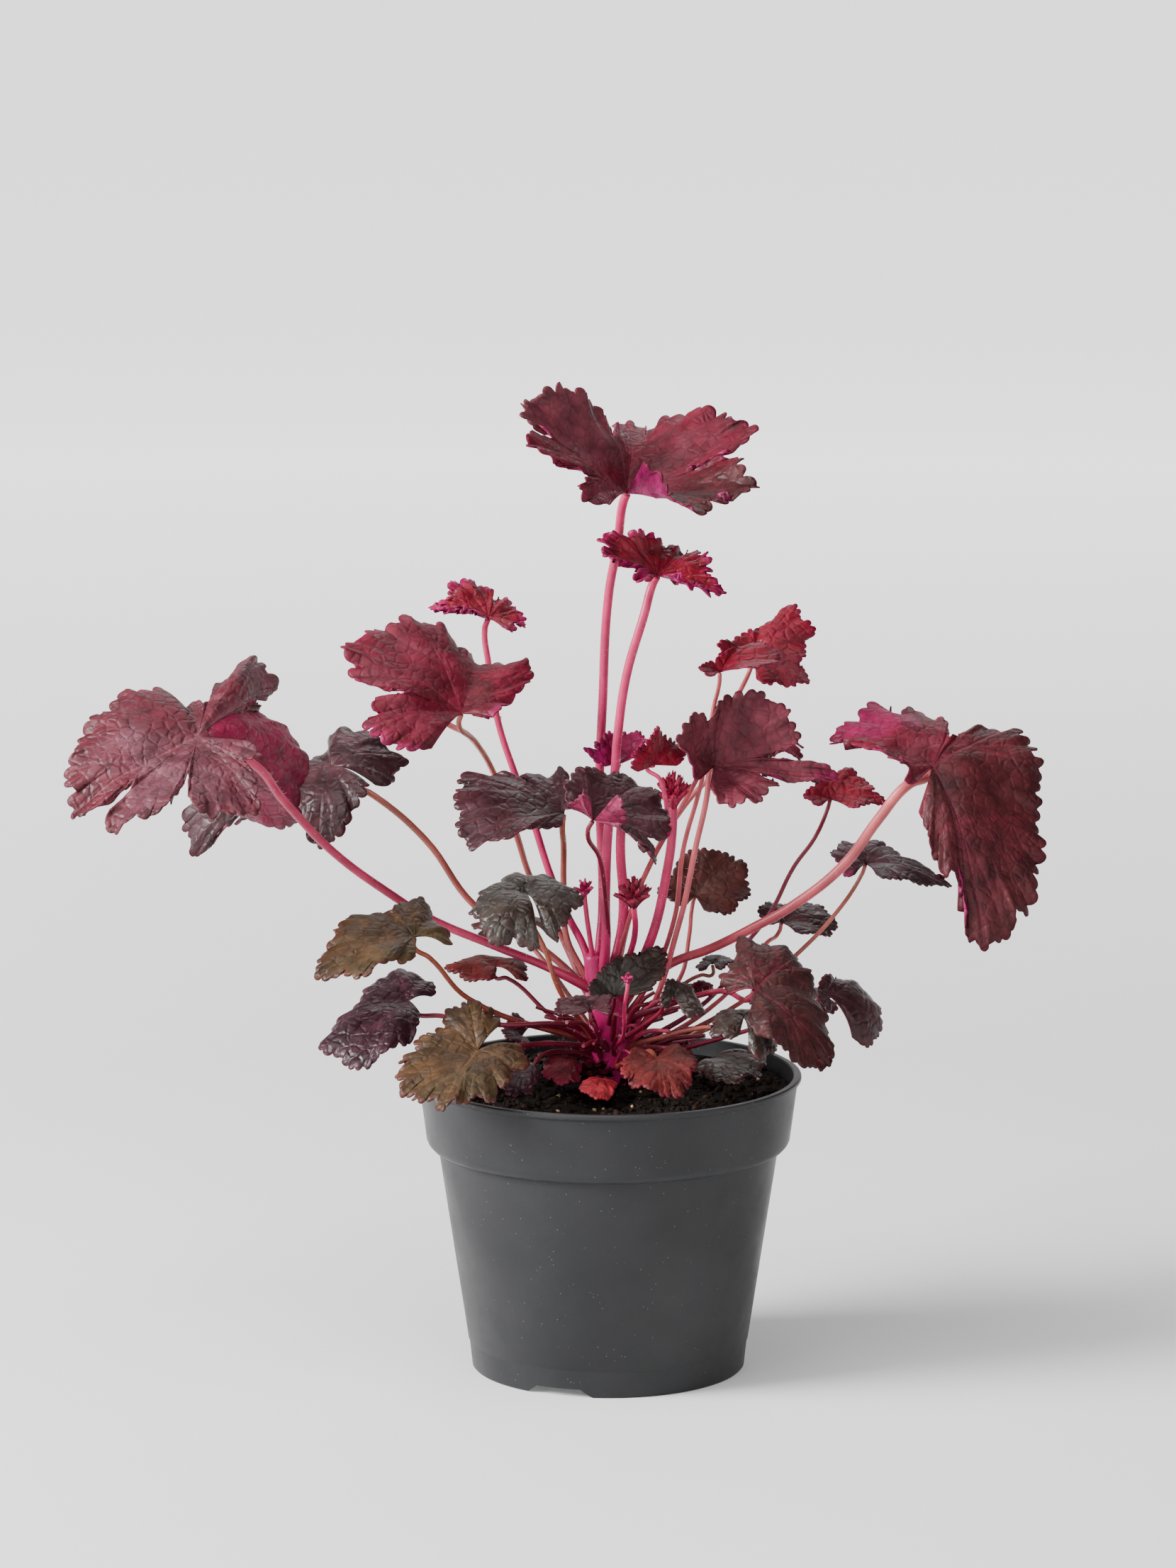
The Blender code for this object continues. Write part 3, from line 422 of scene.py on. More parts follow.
def veinLines(angles, reach, look):
    # main veins run to the longest lobes, the others branch off them part of the way out
    mains = [i for i in range(len(reach))
             if all(reach[i] >= reach[k] for k in (i - 1, i + 1) if 0 <= k < len(reach))]
    ways = [np.array([math.cos(angle), math.sin(angle)]) for angle in angles]
    (root, spread), (longest, change) = look["sideVeinRoots"], look["sideVeinSpan"]
    main, branch, side = look["veinWeights"]
    lines = []
    for i, way in enumerate(ways):
        start = np.zeros(2)
        if i not in mains:
            near = min(mains, key=lambda m: abs(angles[m] - angles[i]))
            start = ways[near] * min(reach[near] * look["branchAt"][0], reach[i] * look["branchAt"][1])
        run = way * reach[i] * look["veinReach"] - start
        lines.append((start, run, main if i in mains else branch))
        length = np.linalg.norm(run)
        steps = 4 if length > look["longVein"] else 2
        for k in range(steps):
            hand = 1 if (i + k) % 2 else -1
            turn = math.atan2(run[1], run[0]) + hand * look["sideVeinTurn"]
            span = length * (longest + change * k / steps) * np.array([math.cos(turn), math.sin(turn)])
            lines.append((start + run * (root + spread * k / steps), span, side))
    return lines


def nearVeins(spots, lines, width):
    nearest = np.full(len(spots), 1.0)
    strength = np.zeros(len(spots))
    for start, run, weight in lines:
        share = np.clip(((spots - start) @ run) / max(run @ run, 1e-12), 0, 1)
        away = np.linalg.norm(spots - start - share[:, None] * run, axis=1)
        spread = width * weight * (1.25 - 0.75 * share)
        strength = np.maximum(strength, weight ** 0.5 * np.exp(-(away / spread) ** 2))
        nearest = np.minimum(nearest, away)
    return nearest, strength


def evened(line, run, calm):
    # the same line with a moving average along it
    half = int(calm / (run[1] - run[0]))
    weight = np.hanning(2 * half + 3)[1:-1]
    padded = np.pad(line, ((half, half), (0, 0)), mode="edge")
    return np.stack([np.convolve(padded[:, k], weight / weight.sum(), "valid") for k in range(3)], 1)


def surfaceNormals(places, up):
    normal = np.cross(np.gradient(places, axis=1), np.gradient(places, axis=0))
    length = np.linalg.norm(normal, axis=2, keepdims=True)
    normal = np.where(length > 1e-12, normal / np.maximum(length, 1e-12), up)
    facing = np.sign((normal.reshape(-1, 3) @ up).sum())
    normal *= facing if facing else 1.0
    normal[:, 0] = up
    return normal


def gridForm(cols, rings):
    form = bmesh.new()
    bmesh.ops.create_grid(form, x_segments=cols, y_segments=rings, size=1.0)
    cell = np.array([[(v.co.x + 1) / 2 * cols, (v.co.y + 1) / 2 * rings] for v in form.verts])
    return form, np.round(cell).astype(int)


def cutTeeth(places, run, out, spread, size, upward, grain, look):
    # rounded teeth cut square to the margin, no two alike
    waver = np.array([noise.noise(Vector((place * look["waverScale"], look["seed"], 0.0))) for place in run])
    teeth = np.abs(np.sin(np.pi * (run / (look["toothStep"] * grain) + 0.3 * waver))) ** 0.5
    bite = look["toothDepth"] * grain * look["tooth"] * (1 - teeth) * (1.0 + 0.8 * np.roll(waver, 9))
    bite *= np.clip(np.minimum(run, run[-1] - run) / look["marginEnds"], 0, 1)
    inward = np.cross(np.gradient(places[:, -1], axis=0), surfaceNormals(places, upward)[:, -2])
    inward /= np.maximum(np.linalg.norm(inward, axis=1, keepdims=True), 1e-9)
    inward *= -np.sign((inward * spread).sum())
    bite *= np.clip(-(inward * spread).sum(1) / size, 0.1, 1)  # hardly any where a lobe's side runs outwards
    places += inward[:, None, :] * (bite[:, None] * np.clip(out[None, :] * 3 - 2, 0, 1))[..., None]


def bladeSurface(lift, tips, clefts, look):
    up = leafUp(tips)
    hull, margin = lobeSpokes(tips, clefts, up, look)
    grain = sum(tip.length for tip in tips) / len(tips) / look["fullLobe"]
    grain = min(max(grain, look["leastGrain"]), 1.0)
    columns, reach, run = marginOf(hull, margin, look["columnStep"] * grain)
    upward = np.array(up)
    spread = curveThrough(hull, columns)
    rise = spread @ upward
    flat = spread - np.outer(rise, upward)
    length = np.linalg.norm(flat, axis=1)
    middle = flat * 0.5 + np.outer(rise * look["arch"] + lift * length * 2, upward)
    size = np.linalg.norm(spread, axis=1)
    rings = int(np.clip(size.mean() / look["ringStep"], *look["ringRange"]))
    unit = flat / length[:, None]
    steps = np.arccos(np.clip((unit[1:] * unit[:-1]).sum(1), -1, 1))
    turn = np.concatenate([[0], np.cumsum(steps)])
    inner = np.clip(np.minimum(run, run[-1] - run) / look["calmEnds"], 0, 1)[:, None]
    middle = middle + (evened(middle, run, look["calm"]) - middle) * inner
    calm = spread + (evened(spread, run, look["calm"]) - spread) * inner
    out = np.linspace(0, 1, rings + 1) ** 0.85
    share = reach[:, None] * out[None, :]
    # each way out is an arch from the stalk over the middle to the margin
    overMiddle = (4 * share * (1 - share))[..., None]
    toMargin = (2 * share * (share - 0.5))[..., None]
    own = (out ** 3)[None, :, None]
    places = middle[:, None, :] * overMiddle
    places += (spread[:, None, :] * own + calm[:, None, :] * (1 - own)) * toMargin
    cutTeeth(places, run, out, spread, size, upward, grain, look)
    toRim = (1 - out)[None, :] * (size * reach)[:, None]  # metres in from the margin
    return places, share, toRim, turn, size, columns - 1, run, upward


def foldedBlade(node, places, share, toRim, size, run, normal, away, vein, look):
    # the blade bulges between its veins, sinks along them and has folds, most of them at the margin
    ends = np.clip(np.minimum(run, run[-1] - run) / look["marginEnds"], 0.2, 1)[:, None]
    fade = np.clip(share * 4, 0, 1) * np.clip(toRim / look["quiltEnds"] + 0.15, 0, 1)
    bulge = (1 - np.exp(-(away / look["quiltReach"]) ** 2)) * look["quilt"] * fade
    groove = -vein * look["veinDepth"] * np.clip(share * 5, 0, 1) * np.clip(toRim / look["veinEnds"], 0, 1)
    phase = random.Random(node + "ruffle").uniform(0, math.tau)
    ripple = np.sin(math.tau * run / look["ruffleStep"] + phase)
    weight, finer = look["secondRuffle"]
    ripple += weight * np.sin(math.tau * run / (look["ruffleStep"] * finer) + phase * 2)
    ruffle = ripple[:, None] * np.exp(-toRim / look["ruffleReach"]) * look["ruffle"]
    wrinkle = np.array([noise.noise(Vector(place) * look["wrinkleScale"]) for place in places.reshape(-1, 3)])
    wrinkle = wrinkle.reshape(share.shape) * look["wrinkle"] * np.clip(share * 3, 0, 1)
    small = min(size.mean() / look["fullSize"], 1.0)
    folds = (bulge + groove + ruffle) * small + wrinkle * max(small, look["leastFolds"])
    return places + normal * (folds * ends)[..., None]


def colourZones(tipPlaces, share, look):
    zones = {kind: np.zeros(share.shape) for kind in ("flush", "deep", "pale")}
    for kind, first, last, inner, outer, strength in look["zones"]:
        side = np.minimum(tipPlaces - first, last - tipPlaces) / look["zoneEdge"] + 0.5
        band = [np.clip(way / look["bandEdge"] + 0.5, 0, 1) for way in (share - inner, outer - share)]
        mask = np.clip(side, 0, 1)[:, None] * band[0] * band[1]
        zones[kind] = np.maximum(zones[kind], mask * strength)
    return zones


def makeBlade(node, key, heart, tips, clefts, lift, look):
    places, share, toRim, turn, size, tipPlaces, run, up = bladeSurface(lift, tips, clefts, look)
    around, out = places.shape[:2]
    spots = np.stack([np.cos(turn)[:, None] * share * size[:, None],
                      np.sin(turn)[:, None] * share * size[:, None]], -1).reshape(-1, 2)
    tipTurns = np.interp(np.arange(len(tips)), tipPlaces, turn)
    lines = veinLines(tipTurns, [tip.length for tip in tips], look)
    away, vein = (found.reshape(around, out) for found in nearVeins(spots, lines, look["veinWidth"]))
    normal = surfaceNormals(places, up)
    places = foldedBlade(node, places, share, toRim, size, run, normal, away, vein, look) + np.array(heart)
    form, cells = gridForm(around - 1, out - 1)
    reads = {"vein": vein, "rim": np.clip(1 - toRim / look["rimWidth"], 0, 1),
             **colourZones(tipPlaces, share, look)}
    layers = [(form.verts.layers.float.new(label), values) for label, values in reads.items()]
    form.verts.layers.float.new("under")
    for corner, (i, j) in zip(form.verts, cells):
        corner.co = places[i, j]
        for layer, values in layers:
            corner[layer] = float(values[i, j])
    bmesh.ops.remove_doubles(form, verts=form.verts, dist=0.000002)
    form.normal_update()
    if sum(face.normal.dot(Vector(up)) * face.calc_area() for face in form.faces) < 0:
        bmesh.ops.reverse_faces(form, faces=form.faces)
    piece = newPiece(node + "_blade", form, finishes[key], node)
    topCount = len(piece.data.vertices)
    thicken(piece, look["thickness"])
    below = np.zeros(len(piece.data.vertices))
    piece.data.attributes["rim"].data.foreach_get("value", below)
    below = 1.0 - 0.9 * below  # the margin keeps the colour of the top
    below[:topCount] = 0.0
    piece.data.attributes["under"].data.foreach_set("value", below)


finishes = {key: makeLeafFinish(key, tones) for key, tones in leafFinishes.items()}
print("leaf finishes")

# Every leaf: name, finish, lift of its middle, end of its stalk, colour of the stalk, its radius at the crown
# and at the leaf, its way, and the ends of the lobes, each with the depth of the cleft after it where that is
# set. Places are as seen() takes them. Leaves behind the plant have a span in metres and a heading instead.
leafTable = (
    ("top", "burgundy", 0.05, (6, 297, 4), "bright", 1.6, 1.5,
     ((-4, 132, 8), (-3, 144, 10), (-2, 156, 13), (-3, 199, 17), (-2, 226, 17), (0, 263, 14), (3, 280, 12)),
     ((-7, 294, -34, 0.4), (-26, 314, -42, 0.25), (-30, 326, -12), (-19, 333.5, 0), (-8, 331, 12, 0.35),
      (6, 319, 44), (24, 323, 34), (35, 326, 24), (50, 319, 8, 0.5), (45, 308, -10), (49.5, 299, -22, 0.2),
      (29, 290, -38, 0.1), (14, 307, -18))),
    ("top_young", "red", 0.04, (16, 269.5, -2), "bright", 1.7, 1.5,
     ((-2, 130, 6), (-1, 145, 2), (-1, 162, 0), (0, 185, -1), (2, 202, -2), (3, 215, -3), (6, 236, -3),
      (12, 257, -3)),
     ((10, 268, -18, 0.6), (-1, 276, -16), (-3, 283, -5), (12, 285, 4), (19, 280, 12), (29, 277, 12),
      (34, 276, 2, 0.2), (39, 263, -8), (32, 265, -16, 0.4), (23, 269, -19))),
    ("young_left", "red", 0.04, (-40, 255, 26), "bright", 1.4, 1.0,
     ((-5, 132, 7), (-8, 143, 11), (-14, 155, 16), (-19, 167, 19), (-26, 189, 24), (-31, 202, 25),
      (-37, 221, 25), (-40, 240, 25)),
     ((-44, 257, 14, 0.2), (-50, 258, 12, 0.5), (-60, 258, 22, 0.3), (-52, 268, 34), (-43, 267, 40, 0.3),
      (-32, 260, 38), (-27, 253, 28), (-32, 251, 18))),
    ("left_high", "burgundy", 0.05, (-49, 223, -18), "tan", 0.9, 0.9,
     ((-4, 128, 10), (-17, 150, 18), (-26, 167, 22), (-31, 182, 22), (-37, 200, 19), (-44, 213, 2)),
     ((-68, 210, -44), (-78, 214, -40), (-83, 218, -34), (-79, 226, -28, 0.5), (-86, 235, -20), (-89, 245, -8),
      (-78, 251, 6), (-66, 255, 14), (-55, 252, 20, 0.2), (-42, 239, 22), (-29, 241, 12), (-25, 235, 0),
      (-36, 223, -22))),
    ("far_left", "mauve", 0.03, (-137, 215, -12), "rose", 1.5, 1.4,
     ((-3, 128, 7), (-21, 137, 6), (-38, 144, 8), (-61, 154, 16), (-72, 161, 15), (-92, 176, 9),
      (-108, 193, -1), (-120, 207, -12)),
     ((-116, 210, -24, 0.25), (-117, 198, -34), (-116, 190, -40), (-123, 188, -44), (-134, 188.5, -48, 0.5),
      (-154, 188, -50), (-167, 183, -46, 0.42), (-180, 188, -32), (-182, 203, -22), (-176, 217, -8),
      (-166, 227.5, 6), (-159, 231, 12), (-149, 230, 18), (-140, 224, 16, 0.6), (-125, 237, 28),
      (-116, 243, 34), (-110, 231, 36, 0.5), (-116, 224, 30), (-103, 213, 32), (-101, 203, 28), (-106, 184, 30),
      (-122, 187, 30))),
    ("left_back", "dark", 0.05, (-92, 205, 52), "tan", 1.2, 1.1,
     ((-4, 126, 10), (-22, 143, 22), (-45, 158, 34), (-61, 180, 42), (-78, 195, 47)),
     ((-80, 196, 38), (-89, 181, 30), (-97, 177, 28), (-109, 188, 40, 0.15), (-123, 186, 48, 0.45),
      (-138, 174, 56), (-143, 185, 60), (-136, 194, 66), (-112, 203, 72), (-98, 205, 74, 0.2), (-91, 214, 76),
      (-86, 218, 74), (-67, 208, 66), (-72, 199, 52))),
    ("mid_left", "dark", 0.05, (-15, 189, -6), "tan", 1.1, 1.0,
     ((-5, 130, 7), (-10, 138, 9), (-14, 147, 11), (-15, 164, 11), (-15, 178, 5)),
     ((-18, 184, -18), (-32, 182, -34), (-46, 177, -32), (-51, 183, -24), (-52, 194, -10), (-50, 201, 2),
      (-42, 203, 10, 0.3), (-27, 201, 12), (-21, 201, 14), (-16, 205, 12), (-14, 196, 7))),
    ("mid_right", "dark", 0.04, (-5, 187, -38), "darkRed", 0.8, 0.8,
     ((-2, 126, 7), (0, 144, 3), (-1, 160, -8), (-3, 174, -24)),
     ((-8, 197, -52), (-15, 192, -40), (-15, 199.5, -30), (-11, 204.5, -22), (-4, 204.5, -15), (5, 202, -10),
      (11, 199.5, -9), (16, 197, -13), (21, 189, -22), (21, 183, -32, 0.3), (16, 172, -44, 0.4),
      (5, 194, -56))),
    ("low_left", "green_dark", 0.08, (-28, 162, -14), "orange", 0.9, 0.8,
     ((0, 106, 6), (-10, 119, -4), (-17, 130, -12), (-21, 142, -14)),
     ((-25, 142, -36), (-39, 144, -38), (-43, 149, -32), (-46, 154, -24), (-44, 160, -14), (-34, 167, 2),
      (-27, 166, 6), (-14, 165, -3), (-8, 159, -14), (-14, 151, -26), (-17, 145, -32))),
    ("right_high", "red", 0.05, (48, 242, 30), "salmon", 0.9, 0.8,
     ((0, 128, 9), (9, 160, 12), (14, 172, 14), (22, 187, 17), (29, 200, 20), (42, 227, 26)),
     ((37, 242, 20), (36, 247, 26), (44, 250, 36), (53, 254, 44), (62, 260, 46), (69, 251, 40), (66, 245, 34),
      (67, 233, 18), (61, 232, 14), (53, 232, 14))),
    ("right_small", "red", 0.05, (37, 237, 10), "salmon", 0.9, 0.7,
     ((1, 114, 10), (14, 132, 9), (22, 153, 10), (25, 177, 12), (31, 200, 15), (35, 225, 16)),
     ((33, 236, 0), (30, 239, 4), (41, 245, 18), (50, 247, 22), (57, 244, 16), (57, 240, 8), (47, 239, -2))),
    ("right_mid", "burgundy", 0.05, (35, 205, 0), "salmon", 1.0, 1.0,
     ((2, 106, 9), (11, 116, 5), (24, 153, 2), (29, 177, 2), (33, 196, 1)),
     ((28, 202, -18), (23, 214, -16), (26, 222, -10, 0.2), (41, 230, 6), (50, 231, 10), (60, 225, 10),
      (63, 219, 6, 0.6), (78, 201, 0, 0.55), (54, 197, -14), (51, 193, -18), (42, 191, -22), (36, 194, -20))),
    ("right_low_back", "olive_dark", 0.05, (29, 161, 44), "salmon", 0.8, 0.7,
     ((2, 108, 13), (24, 133, 28), (27, 147, 36)),
     ((24, 158, 36), (16, 163, 40), (27, 177, 54), (40, 176, 58), (46, 172, 56), (48, 162, 46), (41, 155, 34),
      (35, 155, 33))),
    ("far_right", "burgundy", 0.03, (108, 205, -6), "salmon", 1.5, 1.9,
     ((0, 122, 9), (21, 138, 10), (34, 143, 10), (48, 150, 8), (62, 158, 4), (79, 172, -2), (90, 187, -6),
      (100, 199, -8)),
     ((99, 200, -22), (95, 208, -20, 0.2), (73, 214, 8), (77, 219, 16), (86, 225, 24), (96, 224, 30),
      (103, 223, 32, 0.6), (134, 217, 22), (142, 212, 12), (145, 203, 4, 0.04), (144, 186, -6, 0.04),
      (145.5, 174, -14, 0.05), (142, 156, -24, 0.1), (134, 146, -30, 0.03), (126, 142, -32, 0.03),
      (120, 147, -32), (117, 166, -30), (112, 167, -30), (108, 175, -28), (106, 183, -24))),
    ("right_young", "red", 0.05, (74, 194, 38), "darkRed", 0.8, 0.7,
     ((3, 106, 13), (37, 129, 22), (45, 143, 30), (54, 155, 29), (62, 171, 34), (69, 181, 36)),
     ((69, 192, 30), (65, 196, 34), (71, 203, 46), (81, 204, 50), (87, 200, 46), (93, 193, 38), (84, 191, 30))),
    ("right_side", "dark", 0.05, (86, 172, 24), "tan", 0.8, 0.7,
     ((4, 104, 10), (45, 125, 10), (62, 140, 14), (76, 155, 20)),
     ((79, 168, 14), (74, 176, 20), (78, 179, 32), (86, 180, 38), (93, 178, 36), (108, 170, 30), (115, 164, 24),
      (104, 165, 16), (93, 167, 12))),
    ("right_low", "dark", 0.05, (58, 152, 44), "salmon", 0.8, 0.7,
     ((4, 104, 14), (38, 126, 27), (53, 145, 38)),
     ((53, 152, 36), (50, 157, 43), (54, 159, 51), (66, 158, 56), (72, 158, 54), (77, 151, 46), (74, 147, 38),
      (66, 148, 34))),
    ("front_right", "burgundy", 0.05, (49, 129, -46), "darkRed", 1.0, 0.9,
     ((3, 118, 6), (30, 127, -8), (39, 128.5, -24)),
     ((39, 128, -40), (37, 132, -36), (42, 139, -30), (44, 146, -22), (56, 144, -20), (64, 139.5, -22),
      (68, 135, -28), (71, 127, -34), (75, 115, -48), (76, 104, -60), (72, 101, -64), (66, 102, -68),
      (56, 110, -70), (50, 113, -66))),
    ("right_curled", "dark", 0.05, (73, 128, -6), "darkRed", 0.8, 0.7,
     ((4, 104, 8), (40, 113, -1), (60, 120, -4)),
     ((74, 121, -15), (70, 126, -14), (72, 134, -2), (79, 132, 10), (85, 129, 12), (91, 124, 8), (92, 114, 0),
      (87, 109, -6))),
    ("green_right", "green_dark", 0.06, (45, 120, -30), "tan", 0.8, 0.7,
     ((2, 108, 8), (19, 113, -4), (32, 116, -16)),
     ((41, 112, -42), (34, 113, -40), (35, 120, -30), (43, 122, -20), (53, 118, -22), (56, 108, -36),
      (51, 104, -44))),
    ("green_crown", "green_dark", 0.06, (2, 127, -10), "darkRed", 0.8, 0.7,
     ((0, 116, 7), (1, 121, -4)),
     ((-3, 123, -20), (-7, 130, -16), (-2, 137, -8), (4, 141, -4), (17, 144, -2), (20, 141, -4), (19, 134, -12),
      (13, 129, -20))),
    ("dark_curl", "green_dark", 0.06, (21, 127, -30), "darkRed", 0.8, 0.7,
     ((2, 110, 6), (12, 117, -14), (18, 122, -25)),
     ((18, 123, -40), (17, 126, -36), (20, 133, -28), (27, 130, -22), (31, 124, -26), (32, 120, -32),
      (28, 119, -40))),
    ("edge_small", "dark", 0.05, (-6, 122, -38), "darkRed", 0.7, 0.6,
     ((0, 108, 5), (-3, 112, -16), (-5, 117, -32)),
     ((-10, 121, -48), (-18, 121, -44), (-17, 126, -34), (-7, 127, -30), (1, 127, -32), (1, 121, -44))),
    ("front_round", "brown_red", 0.05, (16, 105, -34), "orange", 0.9, 0.8,
     ((2, 102, 6), (10, 106, -12), (15, 107, -26)),
     ((23, 110, -28), (29, 107, -32), (30, 103, -38), (28, 96, -48), (24, 91, -54), (19, 92, -56),
      (14, 94, -56), (8, 95, -52), (4, 100, -46), (4, 105, -38), (8, 109, -31))),
    ("coral", "coral", 0.05, (-2, 98.2, -12), "salmon", 0.8, 0.7,
     ((0, 100, 7), (-1, 98.3, -2)),
     ((3, 96, -18), (0.5, 91.3, -33), (-5, 91, -36), (-10, 95, -26), (-7, 98.5, -15))),
    ("soil_left", "dark_red", 0.05, (-13, 105, -2), "darkRed", 0.7, 0.6,
     ((-1, 104, 9), (-7, 104, 4)),
     ((-9, 102, -9), (-10, 97, -22), (-16, 96, -26), (-22, 99, -18), (-22, 104, -6), (-18, 107, 1))),
    ("front_left", "olive", 0.05, (-44, 108, -40), "darkRed", 1.0, 0.9,
     ((-2, 108, 8), (-11, 110, -2), (-28, 110, -16), (-38, 108, -31)),
     ((-28, 109, -36), (-27, 102, -44), (-34, 96, -56, 0.15), (-39, 89.5, -66), (-50, 89.5, -70),
      (-56, 86.5, -72), (-65, 90, -66), (-70, 92, -60), (-72, 99, -52), (-70, 104, -46), (-65, 111, -38),
      (-60, 114, -34, 0.1), (-54, 121, -26), (-47, 126, -22), (-37, 121, -26))),
    ("left_low", "olive", 0.05, (-65, 147, -16), "orange", 0.9, 0.8,
     ((-2, 110, 8), (-47, 126, -4), (-60, 140, -12)),
     ((-68, 138, -32), (-77, 137, -40), (-84, 133, -42), (-98, 132, -34), (-97, 140, -26), (-91, 151, -12),
      (-86, 153, -6, 0.3), (-65, 160, 6), (-60, 155, 4, 0.2), (-52, 145, -10))),
    ("left_dark", "purple_dark", 0.06, (-67, 125, -4), "darkRed", 0.9, 0.8,
     ((-2, 112, 8), (-14, 117, -3), (-37, 117, -9), (-56, 120, -7)),
     ((-64, 118, -16), (-66, 111, -26), (-75, 107, -32), (-81, 102, -34), (-86, 101, -32), (-97, 108, -20),
      (-91, 117, -8), (-79, 131, 8), (-71, 135, 12), (-60, 132, 10), (-58, 128, 3))),
    ("left_small", "brown_red", 0.06, (-38, 137, 24), "darkRed", 0.8, 0.7,
     ((-2, 110, 9), (-19, 120, 14), (-34, 133, 22)),
     ((-40, 132, 14), (-47, 132, 16), (-55, 136, 24), (-47, 140, 32), (-35, 140, 34), (-28, 137, 28),
      (-27, 132, 18))),
    ("purple_small", "purple_dark", 0.06, (-29, 113, 6), "darkRed", 0.7, 0.6,
     ((-1, 106, 9), (-20, 111, 8)),
     ((-27, 110.5, -1), (-34, 112, -3), (-36, 116, 4), (-32, 121, 13), (-27, 118, 12))),
    ("shoot_cup", "magenta", 0.04, (3, 206, 8), "bright", 1.9, 1.4,
     ((-1, 128, 9), (3, 142, 11), (5, 155, 12), (4, 176, 13), (4, 198, 12)),
     ((-3, 206, 2), (-9, 211, 2, 0.4), (-4, 214, 6), (-1, 217, 10), (4, 217, 15), (10, 217, 15), (13, 214, 10),
      (9, 209, 4))),
    ("shoot_red", "red", 0.04, (15.5, 205.5, -4), "bright", 0.8, 0.7,
     ((19.5, 182, 6), (19.5, 189, 1), (18.6, 196, -2), (17, 201, -3)),
     ((7, 205, -14), (8, 210, -11), (14, 216, -4), (16, 219, 0), (18, 217, 3), (22, 214, 6), (26, 210, 4),
      (25, 207, 0))),
    ("red_small", "dark_red", 0.05, (30, 128, 8), "darkRed", 0.7, 0.6,
     ((3, 112, 9), (20, 122, 9)),
     ((27, 127, 1), (27, 131, 8), (31, 132, 14), (35, 130, 12), (35, 127, 4))),
    ("grey_edge", "dark", 0.05, (35, 138, 14), "tan", 0.7, 0.6,
     ((2, 116, 10), (20, 127, 14), (31, 134, 14)),
     ((30.5, 135.5, 6), (29, 137.5, 12), (33, 140.5, 20), (40, 140, 22), (42, 138, 14), (38, 136, 5))),
    ("soil_right", "green_dark", 0.05, (34, 105, -8), "tan", 0.8, 0.7,
     ((3, 104, 8), (22, 105, -2)),
     ((46, 108, -3), (53, 104, -12), (51, 99, -24), (43, 97, -34), (35, 97, -31), (30, 101, -21))),
    ("soil_purple", "purple_dark", 0.05, (-27, 104, -10), "darkRed", 0.7, 0.6,
     ((-1, 104, 8), (-15, 108, 2), (-23, 106, -5)),
     ((-24, 98, -24), (-26, 92.5, -40), (-33, 92, -42), (-39, 97, -34), (-40, 102, -20), (-35, 106, -9))),
    ("back_left", "burgundy", 0.05, (-56, 226, 92), "salmon", 1.1, 1.0,
     ((-3, 118, 12), (-17, 150, 36), (-26, 167, 50), (-31, 183, 62), (-37, 200, 74), (-46, 215, 86)),
     (0.025, 112.0)),
    ("back_right", "burgundy", 0.05, (48, 214, 80), "salmon", 1.0, 0.9,
     ((1, 112, 14), (4, 140, 36), (9, 160, 50), (14, 172, 60), (22, 187, 68), (36, 203, 77)), (0.021, 70.0)),
    ("back_low_left", "olive_dark", 0.05, (-30, 152, 58), "tan", 0.9, 0.8,
     ((-1, 108, 14), (-14, 128, 32), (-25, 143, 50)), (0.018, 115.0)),
    ("back_low_right", "dark", 0.05, (62, 128, 68), "tan", 0.9, 0.8,
     ((3, 102, 15), (25, 112, 36), (48, 121, 58)), (0.02, 55.0)),
)

